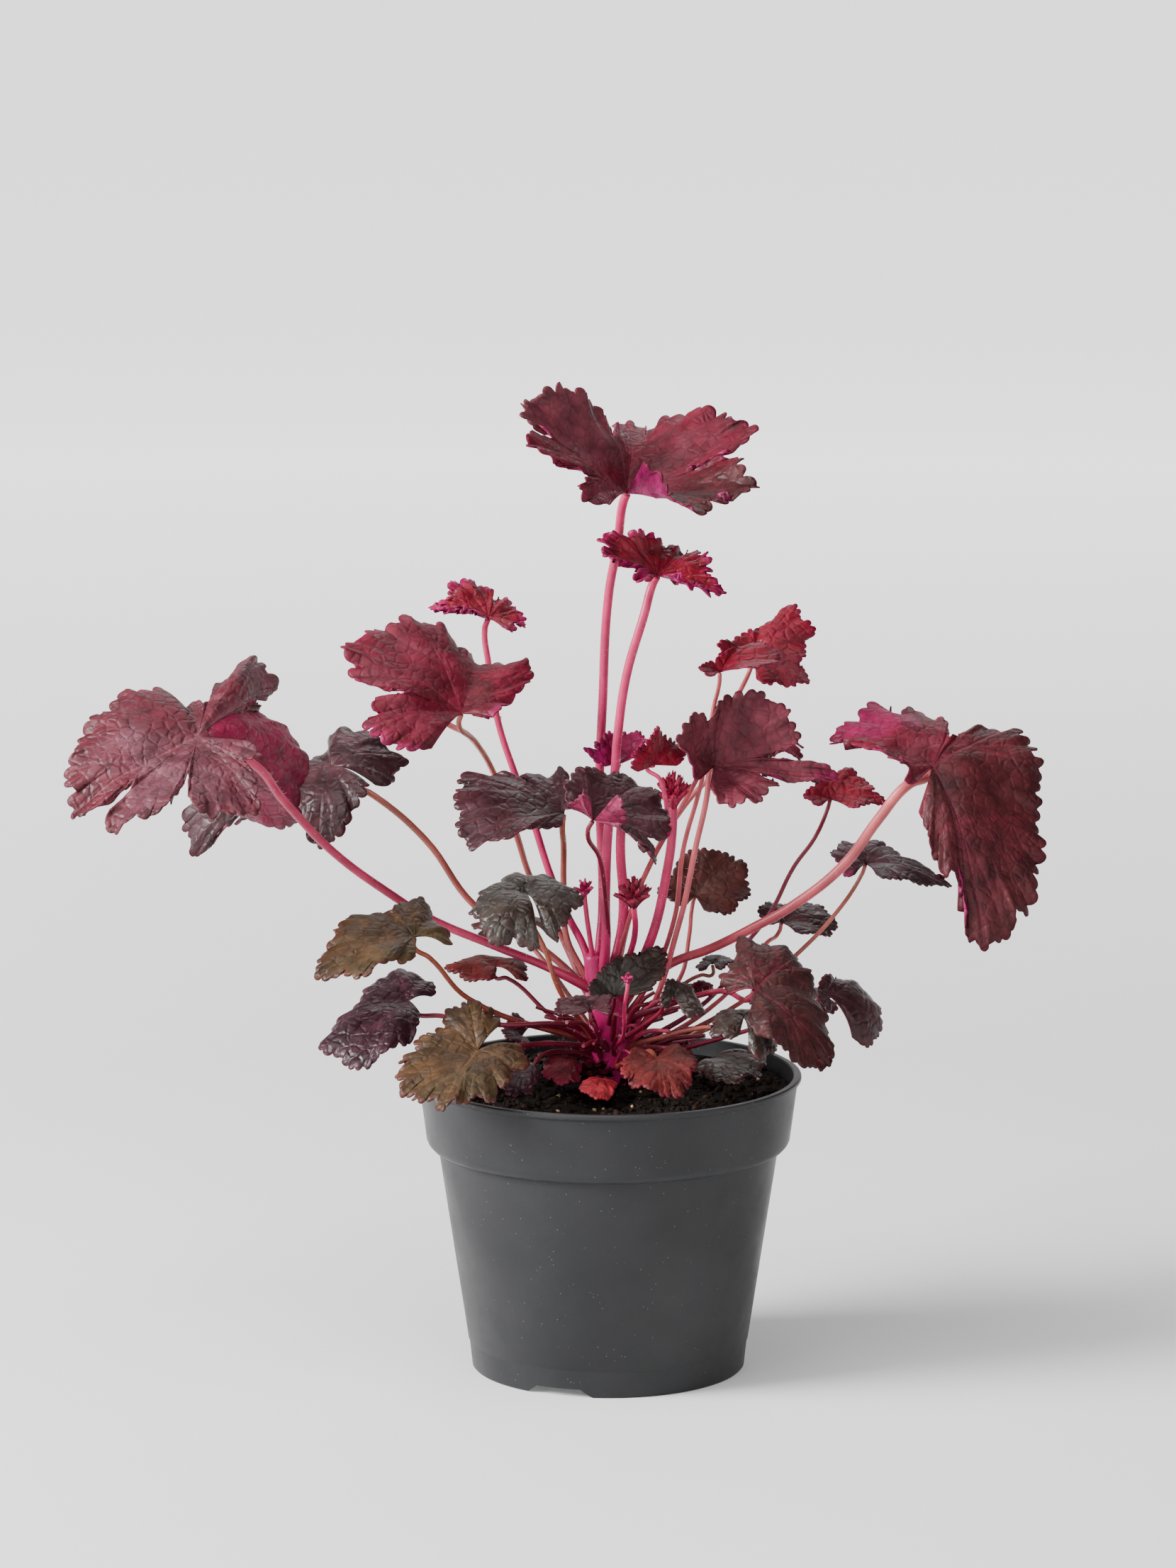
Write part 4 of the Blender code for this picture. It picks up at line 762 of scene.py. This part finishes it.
# Leaves that differ from leafShape. Zones of another colour: kind, first lobe, last lobe, from how far out to
# how far, how strong
youngLook = {"tooth": 1.8, "wrinkle": 0.0014, "wrinkleScale": 210.0, "ruffle": 0.0022, "ruffleStep": 0.0100}
leafLooks = {
    # on top the pale zone is painted light on the upper left wing, which the lamps leave dark
    "top": {"tooth": 1.1, "zones": (("flush", 10.9, 12.5, 0.0, 0.60, 0.9), ("deep", 8.9, 11.2, 0.45, 1.2, 0.8),
                                    ("pale", 1.6, 4.6, 0.25, 1.2, 0.9))},
    "top_young": dict(youngLook, zones=(("flush", -0.5, 0.6, 0.3, 1.2, 0.6), ("flush", 7.4, 9.4, 0.8, 1.2, 0.7),
                                        ("flush", -0.5, 12.0, 0.86, 1.2, 0.45))),
    "young_left": dict(youngLook, zones=(("flush", -0.5, 0.8, 0.3, 1.2, 0.6),
                                         ("flush", -0.5, 12.0, 0.84, 1.2, 0.6))),
    "left_high": {"zones": (("flush", -0.5, 2.0, 0.96, 1.2, 0.9), ("flush", 11.7, 12.5, 0.80, 1.2, 0.8),
                            ("deep", 8.6, 12.0, 0.0, 0.45, 0.5))},
    "far_left": {"zones": (("flush", 17.0, 21.5, 0.1, 1.2, 0.9), ("flush", 10.8, 11.4, 0.90, 1.2, 0.8))},
    "mid_right": {"zones": (("flush", -0.5, 0.6, 0.55, 1.2, 0.6), ("flush", 10.8, 11.5, 0.55, 1.2, 0.6))},
    # on right_mid the pale zone is partly the leaf's own paler lobes, partly painted sheen
    "right_mid": {"zones": (("flush", 6.8, 7.2, 0.8, 1.2, 0.6), ("flush", -0.5, 0.4, 0.85, 1.2, 0.5),
                            ("pale", -0.5, 14.0, 0.0, 1.2, 0.75))},
    "far_right": {"tooth": 1.15, "zones": (("flush", 2.4, 5.4, 0.55, 1.2, 0.6),
                                           ("flush", 6.0, 6.5, 0.85, 1.2, 0.8),
                                           ("deep", 6.6, 19.5, 0.0, 1.2, 0.70))},
    # on right_side the pale zone over the whole leaf is painted sheen, lightening it
    "right_side": {"zones": (("flush", -0.5, 0.6, 0.8, 1.2, 0.5), ("pale", -0.5, 14.0, 0.0, 1.2, 0.9))},
    "front_right": {"zones": (("deep", -0.5, 20.0, 0.0, 1.2, 1.0),)},
    "front_left": {"indent": 2.3}, "left_low": {"indent": 1.6}, "front_round": {"indent": 1.6},
    "right_high": {"indent": 2.0}, "right_young": {"indent": 2.0},
    "low_left": {"indent": 1.5, "wrinkleScale": 95.0}, "left_dark": {"wrinkleScale": 95.0},
    "shoot_cup": {"tooth": 1.5, "wrinkle": 0.0012, "wrinkleScale": 260.0,
                  "zones": (("flush", 0.0, 2.0, 0.5, 1.2, 0.6),)},
    "shoot_red": {"tooth": 1.4, "wrinkle": 0.0009, "wrinkleScale": 260.0},
}
backLook = {"lobes": 7, "lobeTurn": 47, "cleft": 0.3, "shorter": 0.06, "falls": (-0.16, -0.30)}


def backSpokes(span, heading):
    # even lobes to both sides of the heading, in degrees, every other one hanging lower
    look = backLook
    half = look["lobes"] // 2
    spokes = []
    for step in range(look["lobes"]):
        turn = math.radians(heading + (half - step) * look["lobeTurn"])
        reach = span * (1.0 - look["shorter"] * abs(step - half))
        fall = look["falls"][step % 2]
        spokes.append(Vector((reach * math.cos(turn), reach * math.sin(turn), reach * fall)))
    return spokes


def leafSpokes(name, joint, tips):
    # the joint, the lobes from there, the clefts between them and the seed of the teeth
    heart = seen(*joint)
    if len(tips) == 2:
        span, heading = tips
        return heart, backSpokes(span, heading), [backLook["cleft"]] * backLook["lobes"], heading
    spokes = [seen(*tip[:3]) - heart for tip in tips]
    clefts = [tip[3] if len(tip) > 3 else 0.0 for tip in tips]
    return heart, spokes, clefts, random.Random("leaf_" + name).uniform(0, 99)


def makeLeaves():
    for name, key, lift, joint, *stalk, tips in leafTable:
        heart, spokes, clefts, seed = leafSpokes(name, joint, tips)
        look = dict(leafShape, **leafLooks.get(name, {}), seed=seed)
        makeBlade("leaf_" + name, key, heart, spokes, clefts, lift, look)


makeLeaves()
print("leaf blades")


# Pot, in metres
potLook = {
    "lipRadius": 0.0650, "height": 0.1005, "bandTop": 0.0637, "bandFoot": 0.0613, "bandStart": 0.0790,
    "wallTop": 0.0573, "wallTopHeight": 0.0758, "wallFoot": 0.0473, "footHeight": 0.0098,
    "footRadius": 0.0460, "wall": 0.0014, "floorTop": 0.0043, "recess": 0.0027,
    "innerHeights": (0.0063, 0.0745, 0.0802),  # edge of the floor, then below and above the inner step
    "notchAngles": (-111.5, 8.5, 128.5), "notchWidths": (0.0155, 0.0250),  # above, below
    "notchStart": 0.0345, "notchTop": 0.0028, "drainRadius": 0.003, "drainReach": 0.02875,
    "steps": 256, "sharpAngle": 38,
    "colour": (0.0160, 0.0162, 0.0174), "worn": (0.0228, 0.0230, 0.0243), "hazeScale": 26.0, "shine": 0.20,
    "roughness": 0.42, "gloss": (0.36, 0.50), "glossScale": 60.0, "grainScale": 1500.0,
    "dust": (0.30, 0.30, 0.29), "dustScale": 760.0, "dustSize": (0.05, 0.09), "dustAreas": 240.0,
}


def potInner(height):
    look = potLook
    foot, top, low, high = look["wallFoot"], look["wallTop"], look["footHeight"], look["wallTopHeight"]
    if height > look["bandStart"]:
        foot, top, low, high = look["bandFoot"], look["bandTop"], look["bandStart"], look["height"]
    return foot - look["wall"] + (height - low) / (high - low) * (top - foot)


def spinProfile(profile, steps):
    form = bmesh.new()
    points = [form.verts.new((radius, 0.0, height)) for radius, height in profile]
    edges = [form.edges.new(pair) for pair in zip(points, points[1:])]
    bmesh.ops.spin(form, geom=points + edges, cent=(0, 0, 0), axis=(0, 0, 1),
                   angle=math.tau, steps=steps, use_merge=True)
    bmesh.ops.remove_doubles(form, verts=form.verts, dist=0.00001)
    bmesh.ops.recalc_face_normals(form, faces=form.faces)
    return form


def makePotFinish():
    look = potLook
    finish, tree, shader = newFinish("pot_plastic", look["roughness"], look["shine"])
    haze = fitRange(tree, cloud(tree, look["hazeScale"], 5.0), 0.35, 0.70)
    colour = mixColour(tree, haze, look["colour"], look["worn"])
    dot = fitRange(tree, pattern(tree, "Voronoi", {"Scale": look["dustScale"]})["Distance"],
                   *look["dustSize"], 1.0, 0.0)
    rare = fitRange(tree, cloud(tree, look["dustAreas"], 2.0), 0.55, 0.60)
    colour = mixColour(tree, calculate(tree, "MULTIPLY", dot, rare), colour, look["dust"])
    plug(tree, colour, shader.inputs["Base Color"])
    gloss = fitRange(tree, cloud(tree, look["glossScale"], 6.0), 0.3, 0.7, *look["gloss"])
    plug(tree, gloss, shader.inputs["Roughness"])
    raiseRelief(tree, shader, cloud(tree, look["grainScale"]), 0.0001, 0.25)
    return finish


def drainCutter(angle):
    # a notch through the foot ring, wider below, and a drain hole in line with it
    look = potLook
    cutter = bmesh.new()
    bmesh.ops.create_cube(cutter, size=1.0)
    above, below = look["notchWidths"]
    for corner in cutter.verts:
        corner.co.y = math.copysign((above if corner.co.z > 0 else below) / 2, corner.co.y)
        corner.co.x = look["footRadius"] + 0.004 if corner.co.x > 0 else look["notchStart"]
        corner.co.z = look["notchTop"] if corner.co.z > 0 else -0.0006
    turn = Matrix.Rotation(math.radians(angle), 3, "Z")
    bmesh.ops.rotate(cutter, verts=cutter.verts, cent=(0, 0, 0), matrix=turn)
    drain = bmesh.ops.create_cone(cutter, cap_ends=True, segments=32, radius1=look["drainRadius"],
                                  radius2=look["drainRadius"], depth=0.012)["verts"]
    bmesh.ops.rotate(cutter, verts=drain, cent=(0, 0, 0), matrix=Matrix.Rotation(0.1, 3, "Z"))
    bmesh.ops.translate(cutter, verts=drain, vec=turn @ Vector((look["drainReach"], 0, 0.002)))
    return addObject("cutter", meshOf(cutter))


def makePot():
    look = potLook
    wallTop, wallHeight, wallFoot = look["wallTop"], look["wallTopHeight"], look["wallFoot"]
    foot, top, lip, height = look["bandFoot"], look["bandTop"], look["lipRadius"], look["height"]
    recess, footRadius, footHeight = look["recess"], look["footRadius"], look["footHeight"]
    floorEdge, stepFoot, stepTop = look["innerHeights"]
    profile = (
        (0.0, 0.0), (0.0190, 0.0), (0.0196, recess), (0.0385, recess),  # underside
        (0.0391, 0.0), (footRadius - 0.0005, 0.0), (footRadius, 0.0005),
        (wallFoot - 0.0003, footHeight - 0.0003), (wallFoot, footHeight), (wallTop, wallHeight),
        (wallTop + 0.0011, wallHeight + 0.0002), (wallTop + 0.0025, wallHeight + 0.0008),  # step under the band
        (foot - 0.0006, wallHeight + 0.0018), (foot - 0.0001, 0.0788), (foot, 0.0796),
        (top, height - 0.0024), (top + 0.0006, height - 0.0019), (lip - 0.0001, height - 0.0014),  # rolled lip
        (lip, height - 0.0009), (lip - 0.0001, height - 0.0004), (lip - 0.0006, height),
        (top - look["wall"] + 0.0004, height), (top - look["wall"], height - 0.0004),
        (potInner(stepTop), stepTop), (potInner(stepFoot), stepFoot), (potInner(floorEdge), floorEdge),
        (potInner(floorEdge) - 0.0020, look["floorTop"]), (0.0, look["floorTop"]),
    )
    pot = newPiece("pot_shell", spinProfile(profile, look["steps"]), makePotFinish(), "pot")
    for angle in look["notchAngles"]:
        cutter = drainCutter(angle)
        cut = pot.modifiers.new("notch", "BOOLEAN")
        cut.operation = "DIFFERENCE"
        cut.object = cutter
        bakeModifiers(pot)
        bpy.data.objects.remove(cutter, do_unlink=True)
    pot.data.set_sharp_from_angle(angle=math.radians(look["sharpAngle"]))


makePot()
print("pot")


# Buds: tight young leaves standing round a short axis. Name, middle, half width, half height, radius of the
# stalk, its way, number of leaves, how far they open, colours low down and at their tips
budTable = (
    ("bud_tall", (21.5, 197.5, 7), 4.6, 7.6, 1.7, ((1, 122, 9), (13, 143, 6), (20, 172, 6), (21.3, 183, 6.5)),
     26, 0.60, (0.170, 0.002, 0.026), (0.300, 0.005, 0.040)),
    ("bud_basket", (8.5, 163, -10), 5.2, 6.2, 1.1, ((0, 124, 7), (7.4, 142, 3), (9, 150, -4)),
     20, 0.80, (0.060, 0.002, 0.012), (0.190, 0.004, 0.026)),
    ("bud_left", (-8, 164.5, 2), 3.8, 3.4, 0.9, ((-4, 130, 7), (-6, 145, 4), (-7.5, 156, 2.5)),
     10, 0.90, (0.300, 0.002, 0.075), (0.240, 0.002, 0.050)),
    ("bud_low", (6.5, 133.5, -34), 2.9, 2.0, 0.7, ((1, 108, 6), (5, 113.5, -14), (5.5, 124, -31)),
     7, 0.90, (0.280, 0.002, 0.070), (0.220, 0.002, 0.050)),
)

# Crown and stalks
crownLook = {
    "way": ((1, 12, 75), (1, 12, 97), (1, 11, 105), (1, 10, 113), (-1, 9, 122), (-3, 8, 131), (-5, 7, 140)),
    "radii": (9.0, 9.0, 8.2, 7.4, 6.4, 5.0, 3.4),  # these two in millimetres, the lengths below in metres
    "colours": {  # lit side near the tip, and low down by the crown
        "bright": ((0.420, 0.020, 0.085), (0.360, 0.003, 0.075)),
        "rose": ((0.360, 0.032, 0.080), (0.240, 0.007, 0.040)),
        "salmon": ((0.400, 0.080, 0.085), (0.320, 0.016, 0.050)),
        "tan": ((0.270, 0.075, 0.052), (0.220, 0.022, 0.034)),
        "orange": ((0.240, 0.060, 0.028), (0.200, 0.018, 0.022)),
        "darkRed": ((0.130, 0.006, 0.018), (0.170, 0.004, 0.032)),
        "crown": ((0.360, 0.002, 0.085), (0.380, 0.003, 0.115)),
    },
    "roughness": 0.38, "shine": 0.3, "blotchScale": 90.0, "blotchShade": (0.70, 1.15), "grainScale": 700.0,
    "glowShare": 0.12, "glowReach": (0.0020, 0.0006, 0.0008),  # light that spreads under the skin
    "flare": 1.35,  # sheathing foot of each stalk
    "seat": 0.0006, "seatLength": 0.0034,  # under its blade a stalk ends this low, after this much straight run
    "hairs": 2600, "hairLength": (0.0007, 0.0015), "hairWidth": 0.00005, "hairColour": (0.560, 0.400, 0.430),
    "middle": (0.001, 0.011),  # of the crown where stubs and scraps stand round it
    "stubs": 40, "stubHeight": (0.099, 0.110),
    "stubReach": (0.008, 0.028), "stubRise": (0.001, 0.020), "stubRadius": (0.00050, 0.00090),
    "scraps": 34, "scrapReach": (0.010, 0.034), "scrapHeight": (0.098, 0.104), "scrapSize": (0.0022, 0.0052),
    "scrapColour": ((0.060, 0.004, 0.010), (0.030, 0.008, 0.006)),
}


def tubeMesh(places, radii, up, around):
    line = bpy.data.curves.new("way", "CURVE")
    line.dimensions = "3D"
    line.bevel_depth = 1.0
    line.bevel_resolution = around
    line.resolution_u = 8
    line.use_fill_caps = True
    spline = line.splines.new("BEZIER")
    spline.bezier_points.add(len(places) - 1)
    for point, spot, radius in zip(spline.bezier_points, places, radii):
        point.co = spot
        point.radius = radius
        point.handle_left_type = "AUTO"
        point.handle_right_type = "AUTO"
    guide = addObject("way", line)
    if up is not None:
        bpy.context.view_layer.update()
        end = spline.bezier_points[-1]
        end.handle_left_type = "FREE"
        end.handle_left = end.co - up * (end.co - Vector(places[-2])).length * 0.30
    shape = bakedMesh(guide)
    bpy.data.objects.remove(guide, do_unlink=True)
    return shape


def addTube(form, places, radii, colours, up=None, around=4):
    shape = tubeMesh(places, radii, up, around)
    tint = form.verts.layers.float_color["tint"]
    count = len(form.verts)
    form.from_mesh(shape)
    bpy.data.meshes.remove(shape)
    form.verts.ensure_lookup_table()
    new = form.verts[count:]
    high, low = (Vector(colour) for colour in colours)
    spread = [corner.co.z for corner in new]
    bottom, top = min(spread), max(spread)
    for corner in new:
        share = min(max((corner.co.z - bottom) / max(top - bottom, 0.001), 0.0), 1.0) ** 0.7
        corner[tint] = (*low.lerp(high, share), 1.0)


def addStalk(form, places, first, last, tint, up=None):
    # a round stalk from radius to radius in millimetres, with a flared foot
    radii = [(first + (last - first) * i / (len(places) - 1)) * mm for i in range(len(places))]
    radii[0] *= crownLook["flare"]
    addTube(form, places, radii, crownLook["colours"][tint], up)


def makeStalkFinish():
    look = crownLook
    finish, tree, shader = newFinish("stalk_pink", look["roughness"], look["shine"])
    blotch = fitRange(tree, cloud(tree, look["blotchScale"], 4.0), 0.35, 0.70, *look["blotchShade"])
    plug(tree, shaded(tree, reading(tree, "tint", "Color"), blotch), shader.inputs["Base Color"])
    shader.inputs["Subsurface Weight"].default_value = look["glowShare"]
    shader.inputs["Subsurface Radius"].default_value = look["glowReach"]
    shader.inputs["Subsurface Scale"].default_value = 1.0
    raiseRelief(tree, shader, cloud(tree, look["grainScale"]), 0.0002, 0.3)
    return finish


def addHairs(form):
    look = crownLook
    dice = random.Random(21)
    skin = [face for face in form.faces if len(face.verts) == 4]
    spots = []
    for face in dice.choices(skin, weights=[face.calc_area() for face in skin], k=look["hairs"]):
        a, b, c, d = (corner.co for corner in face.verts)
        share = dice.random()
        spots.append((a.lerp(b, share).lerp(d.lerp(c, share), dice.random()), face.normal.copy()))

    def addHair(batch, tint, item):
        spot, normal = item
        length = dice.uniform(*look["hairLength"])
        lean = normal + scatter(dice) * 0.35
        turn = lean.to_track_quat("Z", "Y").to_matrix().to_4x4()
        stand = Matrix.Translation(spot + lean.normalized() * length * 0.45) @ turn
        width = look["hairWidth"]
        for corner in bmesh.ops.create_cone(batch, cap_ends=False, segments=3, radius1=width,
                                            radius2=width * 0.3, depth=length, matrix=stand)["verts"]:
            corner[tint] = (*look["hairColour"], 1.0)

    addInBatches(form, spots, addHair)


def addStubs(form, dice):
    # short old stalks standing out from the foot of the crown
    look = crownLook
    for k in range(look["stubs"]):
        turn = k * math.tau / look["stubs"] + dice.uniform(-0.1, 0.1)
        way = Vector((math.cos(turn), math.sin(turn), 0.0))
        reach = dice.uniform(*look["stubReach"])
        foot = Vector((*look["middle"], dice.uniform(*look["stubHeight"]))) + way * 0.006
        rise = Vector((0, 0, dice.uniform(*look["stubRise"])))
        radius = dice.uniform(*look["stubRadius"])
        places = (foot, foot + way * reach * 0.5 + rise * 0.8, foot + way * reach + rise)
        colours = look["colours"]["darkRed" if dice.random() < 0.7 else "rose"]
        addTube(form, places, (radius * 1.3, radius, radius * 0.8), colours, None, 2)


def addScraps(form, dice):
    # curled scraps of young leaf
    look = crownLook
    first, second = (Vector(colour) for colour in look["scrapColour"])
    tint = form.verts.layers.float_color["tint"]
    x, y = look["middle"]
    for k in range(look["scraps"]):
        turn, reach = dice.uniform(0, math.tau), dice.uniform(*look["scrapReach"])
        size = dice.uniform(*look["scrapSize"])
        spot = (x + math.cos(turn) * reach, y + math.sin(turn) * reach, dice.uniform(*look["scrapHeight"]))
        stand = (Matrix.Translation(spot) @ Matrix.Rotation(turn, 4, "Z")
                 @ Matrix.Rotation(dice.uniform(-0.9, 0.5), 4, "Y")
                 @ Matrix.Rotation(dice.uniform(-0.5, 0.5), 4, "X"))
        made = bmesh.ops.create_circle(form, cap_ends=True, segments=11, radius=size)["verts"]
        disc = {face for corner in made for face in corner.link_faces}
        made += bmesh.ops.poke(form, faces=list(disc))["verts"]
        colour = first.lerp(second, dice.random())
        for i, corner in enumerate(made):
            flat = corner.co.length / size
            corner.co *= 0.72 + 0.28 * (i % 2) if flat > 0.5 else 1.0
            corner.co.z = size * (0.30 * flat + 0.22 * math.sin(i * 2.3) * flat)
            corner[tint] = (*colour, 1.0)
        bmesh.ops.transform(form, verts=made, matrix=stand)


def makeCrown():
    look = crownLook
    form = bmesh.new()
    form.verts.layers.float_color.new("tint")
    addTube(form, [Vector(spot) * mm for spot in look["way"]], [radius * mm for radius in look["radii"]],
            look["colours"]["crown"], None, 8)
    for name, key, lift, joint, tint, base, end, way, tips in leafTable:
        heart, spokes = leafSpokes(name, joint, tips)[:2]
        up = leafUp(spokes)
        seat = heart - up * look["seat"]
        places = [*(seen(*spot) for spot in way), seat - up * look["seatLength"], seat]
        addStalk(form, places, base, end, tint)
    for node, middle, halfWidth, halfHeight, radius, way, *leaves in budTable:
        places = [*(seen(*spot) for spot in way), seen(*middle) - Vector((0, 0, halfHeight * mm * 0.8))]
        addStalk(form, places, radius, radius * 0.9, "bright", Vector((0, 0, 1)))
    bmesh.ops.remove_doubles(form, verts=form.verts, dist=0.000001)
    bmesh.ops.recalc_face_normals(form, faces=form.faces)
    addHairs(form)
    dice = random.Random(8)
    addStubs(form, dice)
    addScraps(form, dice)
    newPiece("crown_stalks", form, makeStalkFinish(), "crown")


makeCrown()
print("crown and stalks")


# Peat, in metres
soilLook = {
    "top": 0.0955, "lumps": 0.0016, "lumpScale": 160.0, "fineLumps": 0.0006, "fineScale": 600.0,
    "foot": 0.0046, "footEdge": 0.0066, "clear": 0.0006,  # between it and the pot's wall
    "steps": 220, "rings": 56, "reach": 0.0585, "mottleScale": 240.0,
    "crumbs": 1500, "fibres": 110, "grains": 16,
    # these peat colours are darker than the peat's own, by half: painted shade over the whole bed
    "dark": (0.005, 0.0035, 0.0025), "brown": (0.016, 0.009, 0.006),
    "bark": (0.036, 0.018, 0.011), "fibre": (0.060, 0.034, 0.020), "grain": (0.420, 0.300, 0.170),
    "roughness": 0.95, "shine": 0.15, "speckScale": 1100.0, "speckShade": (0.55, 1.6), "grainScale": 1600.0,
}


def soilHeight(x, y):
    look = soilLook
    rough = noise.noise(Vector((x, y, 0.3)) * look["lumpScale"]) * look["lumps"]
    fine = noise.noise(Vector((x, y, 0.7)) * look["fineScale"]) * look["fineLumps"]
    return look["top"] + rough + fine - 0.0006


def makePeatFinish():
    look = soilLook
    finish, tree, shader = newFinish("peat", look["roughness"], look["shine"])
    speck = fitRange(tree, cloud(tree, look["speckScale"], 4.0), 0.35, 0.65, *look["speckShade"])
    plug(tree, shaded(tree, reading(tree, "tint", "Color"), speck), shader.inputs["Base Color"])
    raiseRelief(tree, shader, cloud(tree, look["grainScale"], 5.0), 0.0005, 0.9)
    return finish


def addCrumbs(form):
    look = soilLook
    dice = random.Random(11)
    tones = ("dark", "brown", "bark", "fibre", "grain")
    dark, brown, bark, fibre, pale = (Vector(look[tone]) for tone in tones)

    def addCrumb(batch, tint, k):
        reach = look["reach"] * math.sqrt(dice.random())
        turn = dice.uniform(0, math.tau)
        x, y = reach * math.cos(turn), reach * math.sin(turn)
        axis = scatter(dice).normalized()
        spin = Quaternion(axis, dice.uniform(0, 3))
        if k < look["crumbs"]:
            size = dice.uniform(0.0004, 0.0015) * (1.5 if dice.random() > 0.9 else 1.0)
            scale = (size, size * dice.uniform(0.5, 1.0), size * dice.uniform(0.35, 0.8))
            colour = dark.lerp(brown, dice.random())
            if dice.random() > 0.84:
                colour = brown.lerp(bark, dice.random())
        elif k < look["crumbs"] + look["fibres"]:
            scale = (dice.uniform(0.0018, 0.0050), 0.00018, 0.00016)
            spin = (Quaternion((0, 0, 1), dice.uniform(0, 3.1))
                    @ Quaternion((0, 1, 0), dice.uniform(-0.35, 0.35)))
            colour = fibre * dice.uniform(0.4, 1.1)
        else:
            size = dice.uniform(0.0006, 0.0011)
            scale = (size, size * 0.8, size * 0.7)
            colour = pale * dice.uniform(0.7, 1.1)
        spot = Vector((x, y, soilHeight(x, y) + min(scale) * 0.5))
        stand = Matrix.Translation(spot) @ spin.to_matrix().to_4x4() @ Matrix.Diagonal((*scale, 1.0))
        for corner in bmesh.ops.create_icosphere(batch, subdivisions=1, radius=1.0, matrix=stand)["verts"]:
            corner.co += scatter(dice) * min(scale) * 0.3
            corner[tint] = (*colour, 1.0)

    addInBatches(form, range(look["crumbs"] + look["fibres"] + look["grains"]), addCrumb)


def makeSoil():
    look = soilLook
    top, foot, footEdge, clear = look["top"], look["foot"], look["footEdge"], look["clear"]
    _, stepFoot, stepTop = potLook["innerHeights"]
    profile = [(0.0, foot), (potInner(footEdge) - 0.0026, foot), (potInner(footEdge) - 0.0007, footEdge),
               (potInner(stepFoot) - clear, 0.0742), (potInner(stepTop) - clear, 0.0808),
               (potInner(top) - 0.0004, top - 0.0006)]
    edge = profile[-1][0]
    profile += [(edge * (1 - i / look["rings"]), top) for i in range(1, look["rings"] + 1)]
    form = spinProfile(profile, look["steps"])
    tint = form.verts.layers.float_color.new("tint")
    dark, brown = Vector(look["dark"]), Vector(look["brown"])
    for corner in form.verts:
        if corner.co.z > top - 0.0003:
            corner.co.z = soilHeight(corner.co.x, corner.co.y)
        mottle = 0.5 + 0.5 * noise.noise(corner.co * look["mottleScale"])
        corner[tint] = (*dark.lerp(brown, mottle * 0.6), 1.0)
    addCrumbs(form)
    newPiece("peat_bed", form, makePeatFinish(), "soil")


makeSoil()
print("peat")


def makeBudFinish():
    finish, tree, shader = newFinish("bud_magenta", 0.40, 0.3)
    plug(tree, reading(tree, "tint", "Color"), shader.inputs["Base Color"])
    raiseRelief(tree, shader, cloud(tree, 1400.0), 0.0003, 0.6)
    return finish


def makeBud(node, middle, halfWidth, halfHeight, leaves, opening, colours, finish):
    heart = seen(*middle) - Vector((0, 0, halfHeight * mm * 0.85))
    form = bmesh.new()
    tint = form.verts.layers.float_color.new("tint")
    low, high = (Vector(colour) for colour in colours)
    for k in range(leaves):
        share = k / leaves
        turn = k * 2.399  # the golden angle
        lean = (1 - share) * opening
        length = halfHeight * mm * (1.05 + 0.55 * share)
        width = halfWidth * mm * (0.42 - 0.16 * share)
        made = bmesh.ops.create_grid(form, x_segments=8, y_segments=9, size=1.0)["verts"]
        for corner in made:
            s, t = corner.co.x, (corner.co.y + 1) / 2  # across the leaf and along it
            taper = math.sin(math.pi * min(0.08 + t * 0.97, 1.0)) ** 0.8 * (1 - 0.25 * t)
            tooth = 1.0 + 0.40 * math.sin(t * 26.0) * abs(s)
            corner.co = (s * width * taper * tooth, (s * s) * width * 0.8 - t * t * length * lean * 0.5,
                         t * length + 0.08 * length * math.sin(s * 9.0 + k) * t)
            corner[tint] = (*low.lerp(high, t), 1.0)
        bmesh.ops.translate(form, verts=made, vec=Vector((0, -halfWidth * mm * 0.30 * (1 - share), 0)))
        stand = Matrix.Translation(heart) @ Matrix.Rotation(turn, 4, "Z") @ Matrix.Rotation(lean * 0.8, 4, "X")
        bmesh.ops.transform(form, verts=made, matrix=stand)
    bud = newPiece(node + "_leaves", form, finish, node)
    thicken(bud, 0.00028)


budFinish = makeBudFinish()
for node, middle, halfWidth, halfHeight, radius, way, leaves, opening, *colours in budTable:
    makeBud(node, middle, halfWidth, halfHeight, leaves, opening, colours, budFinish)
print("buds")
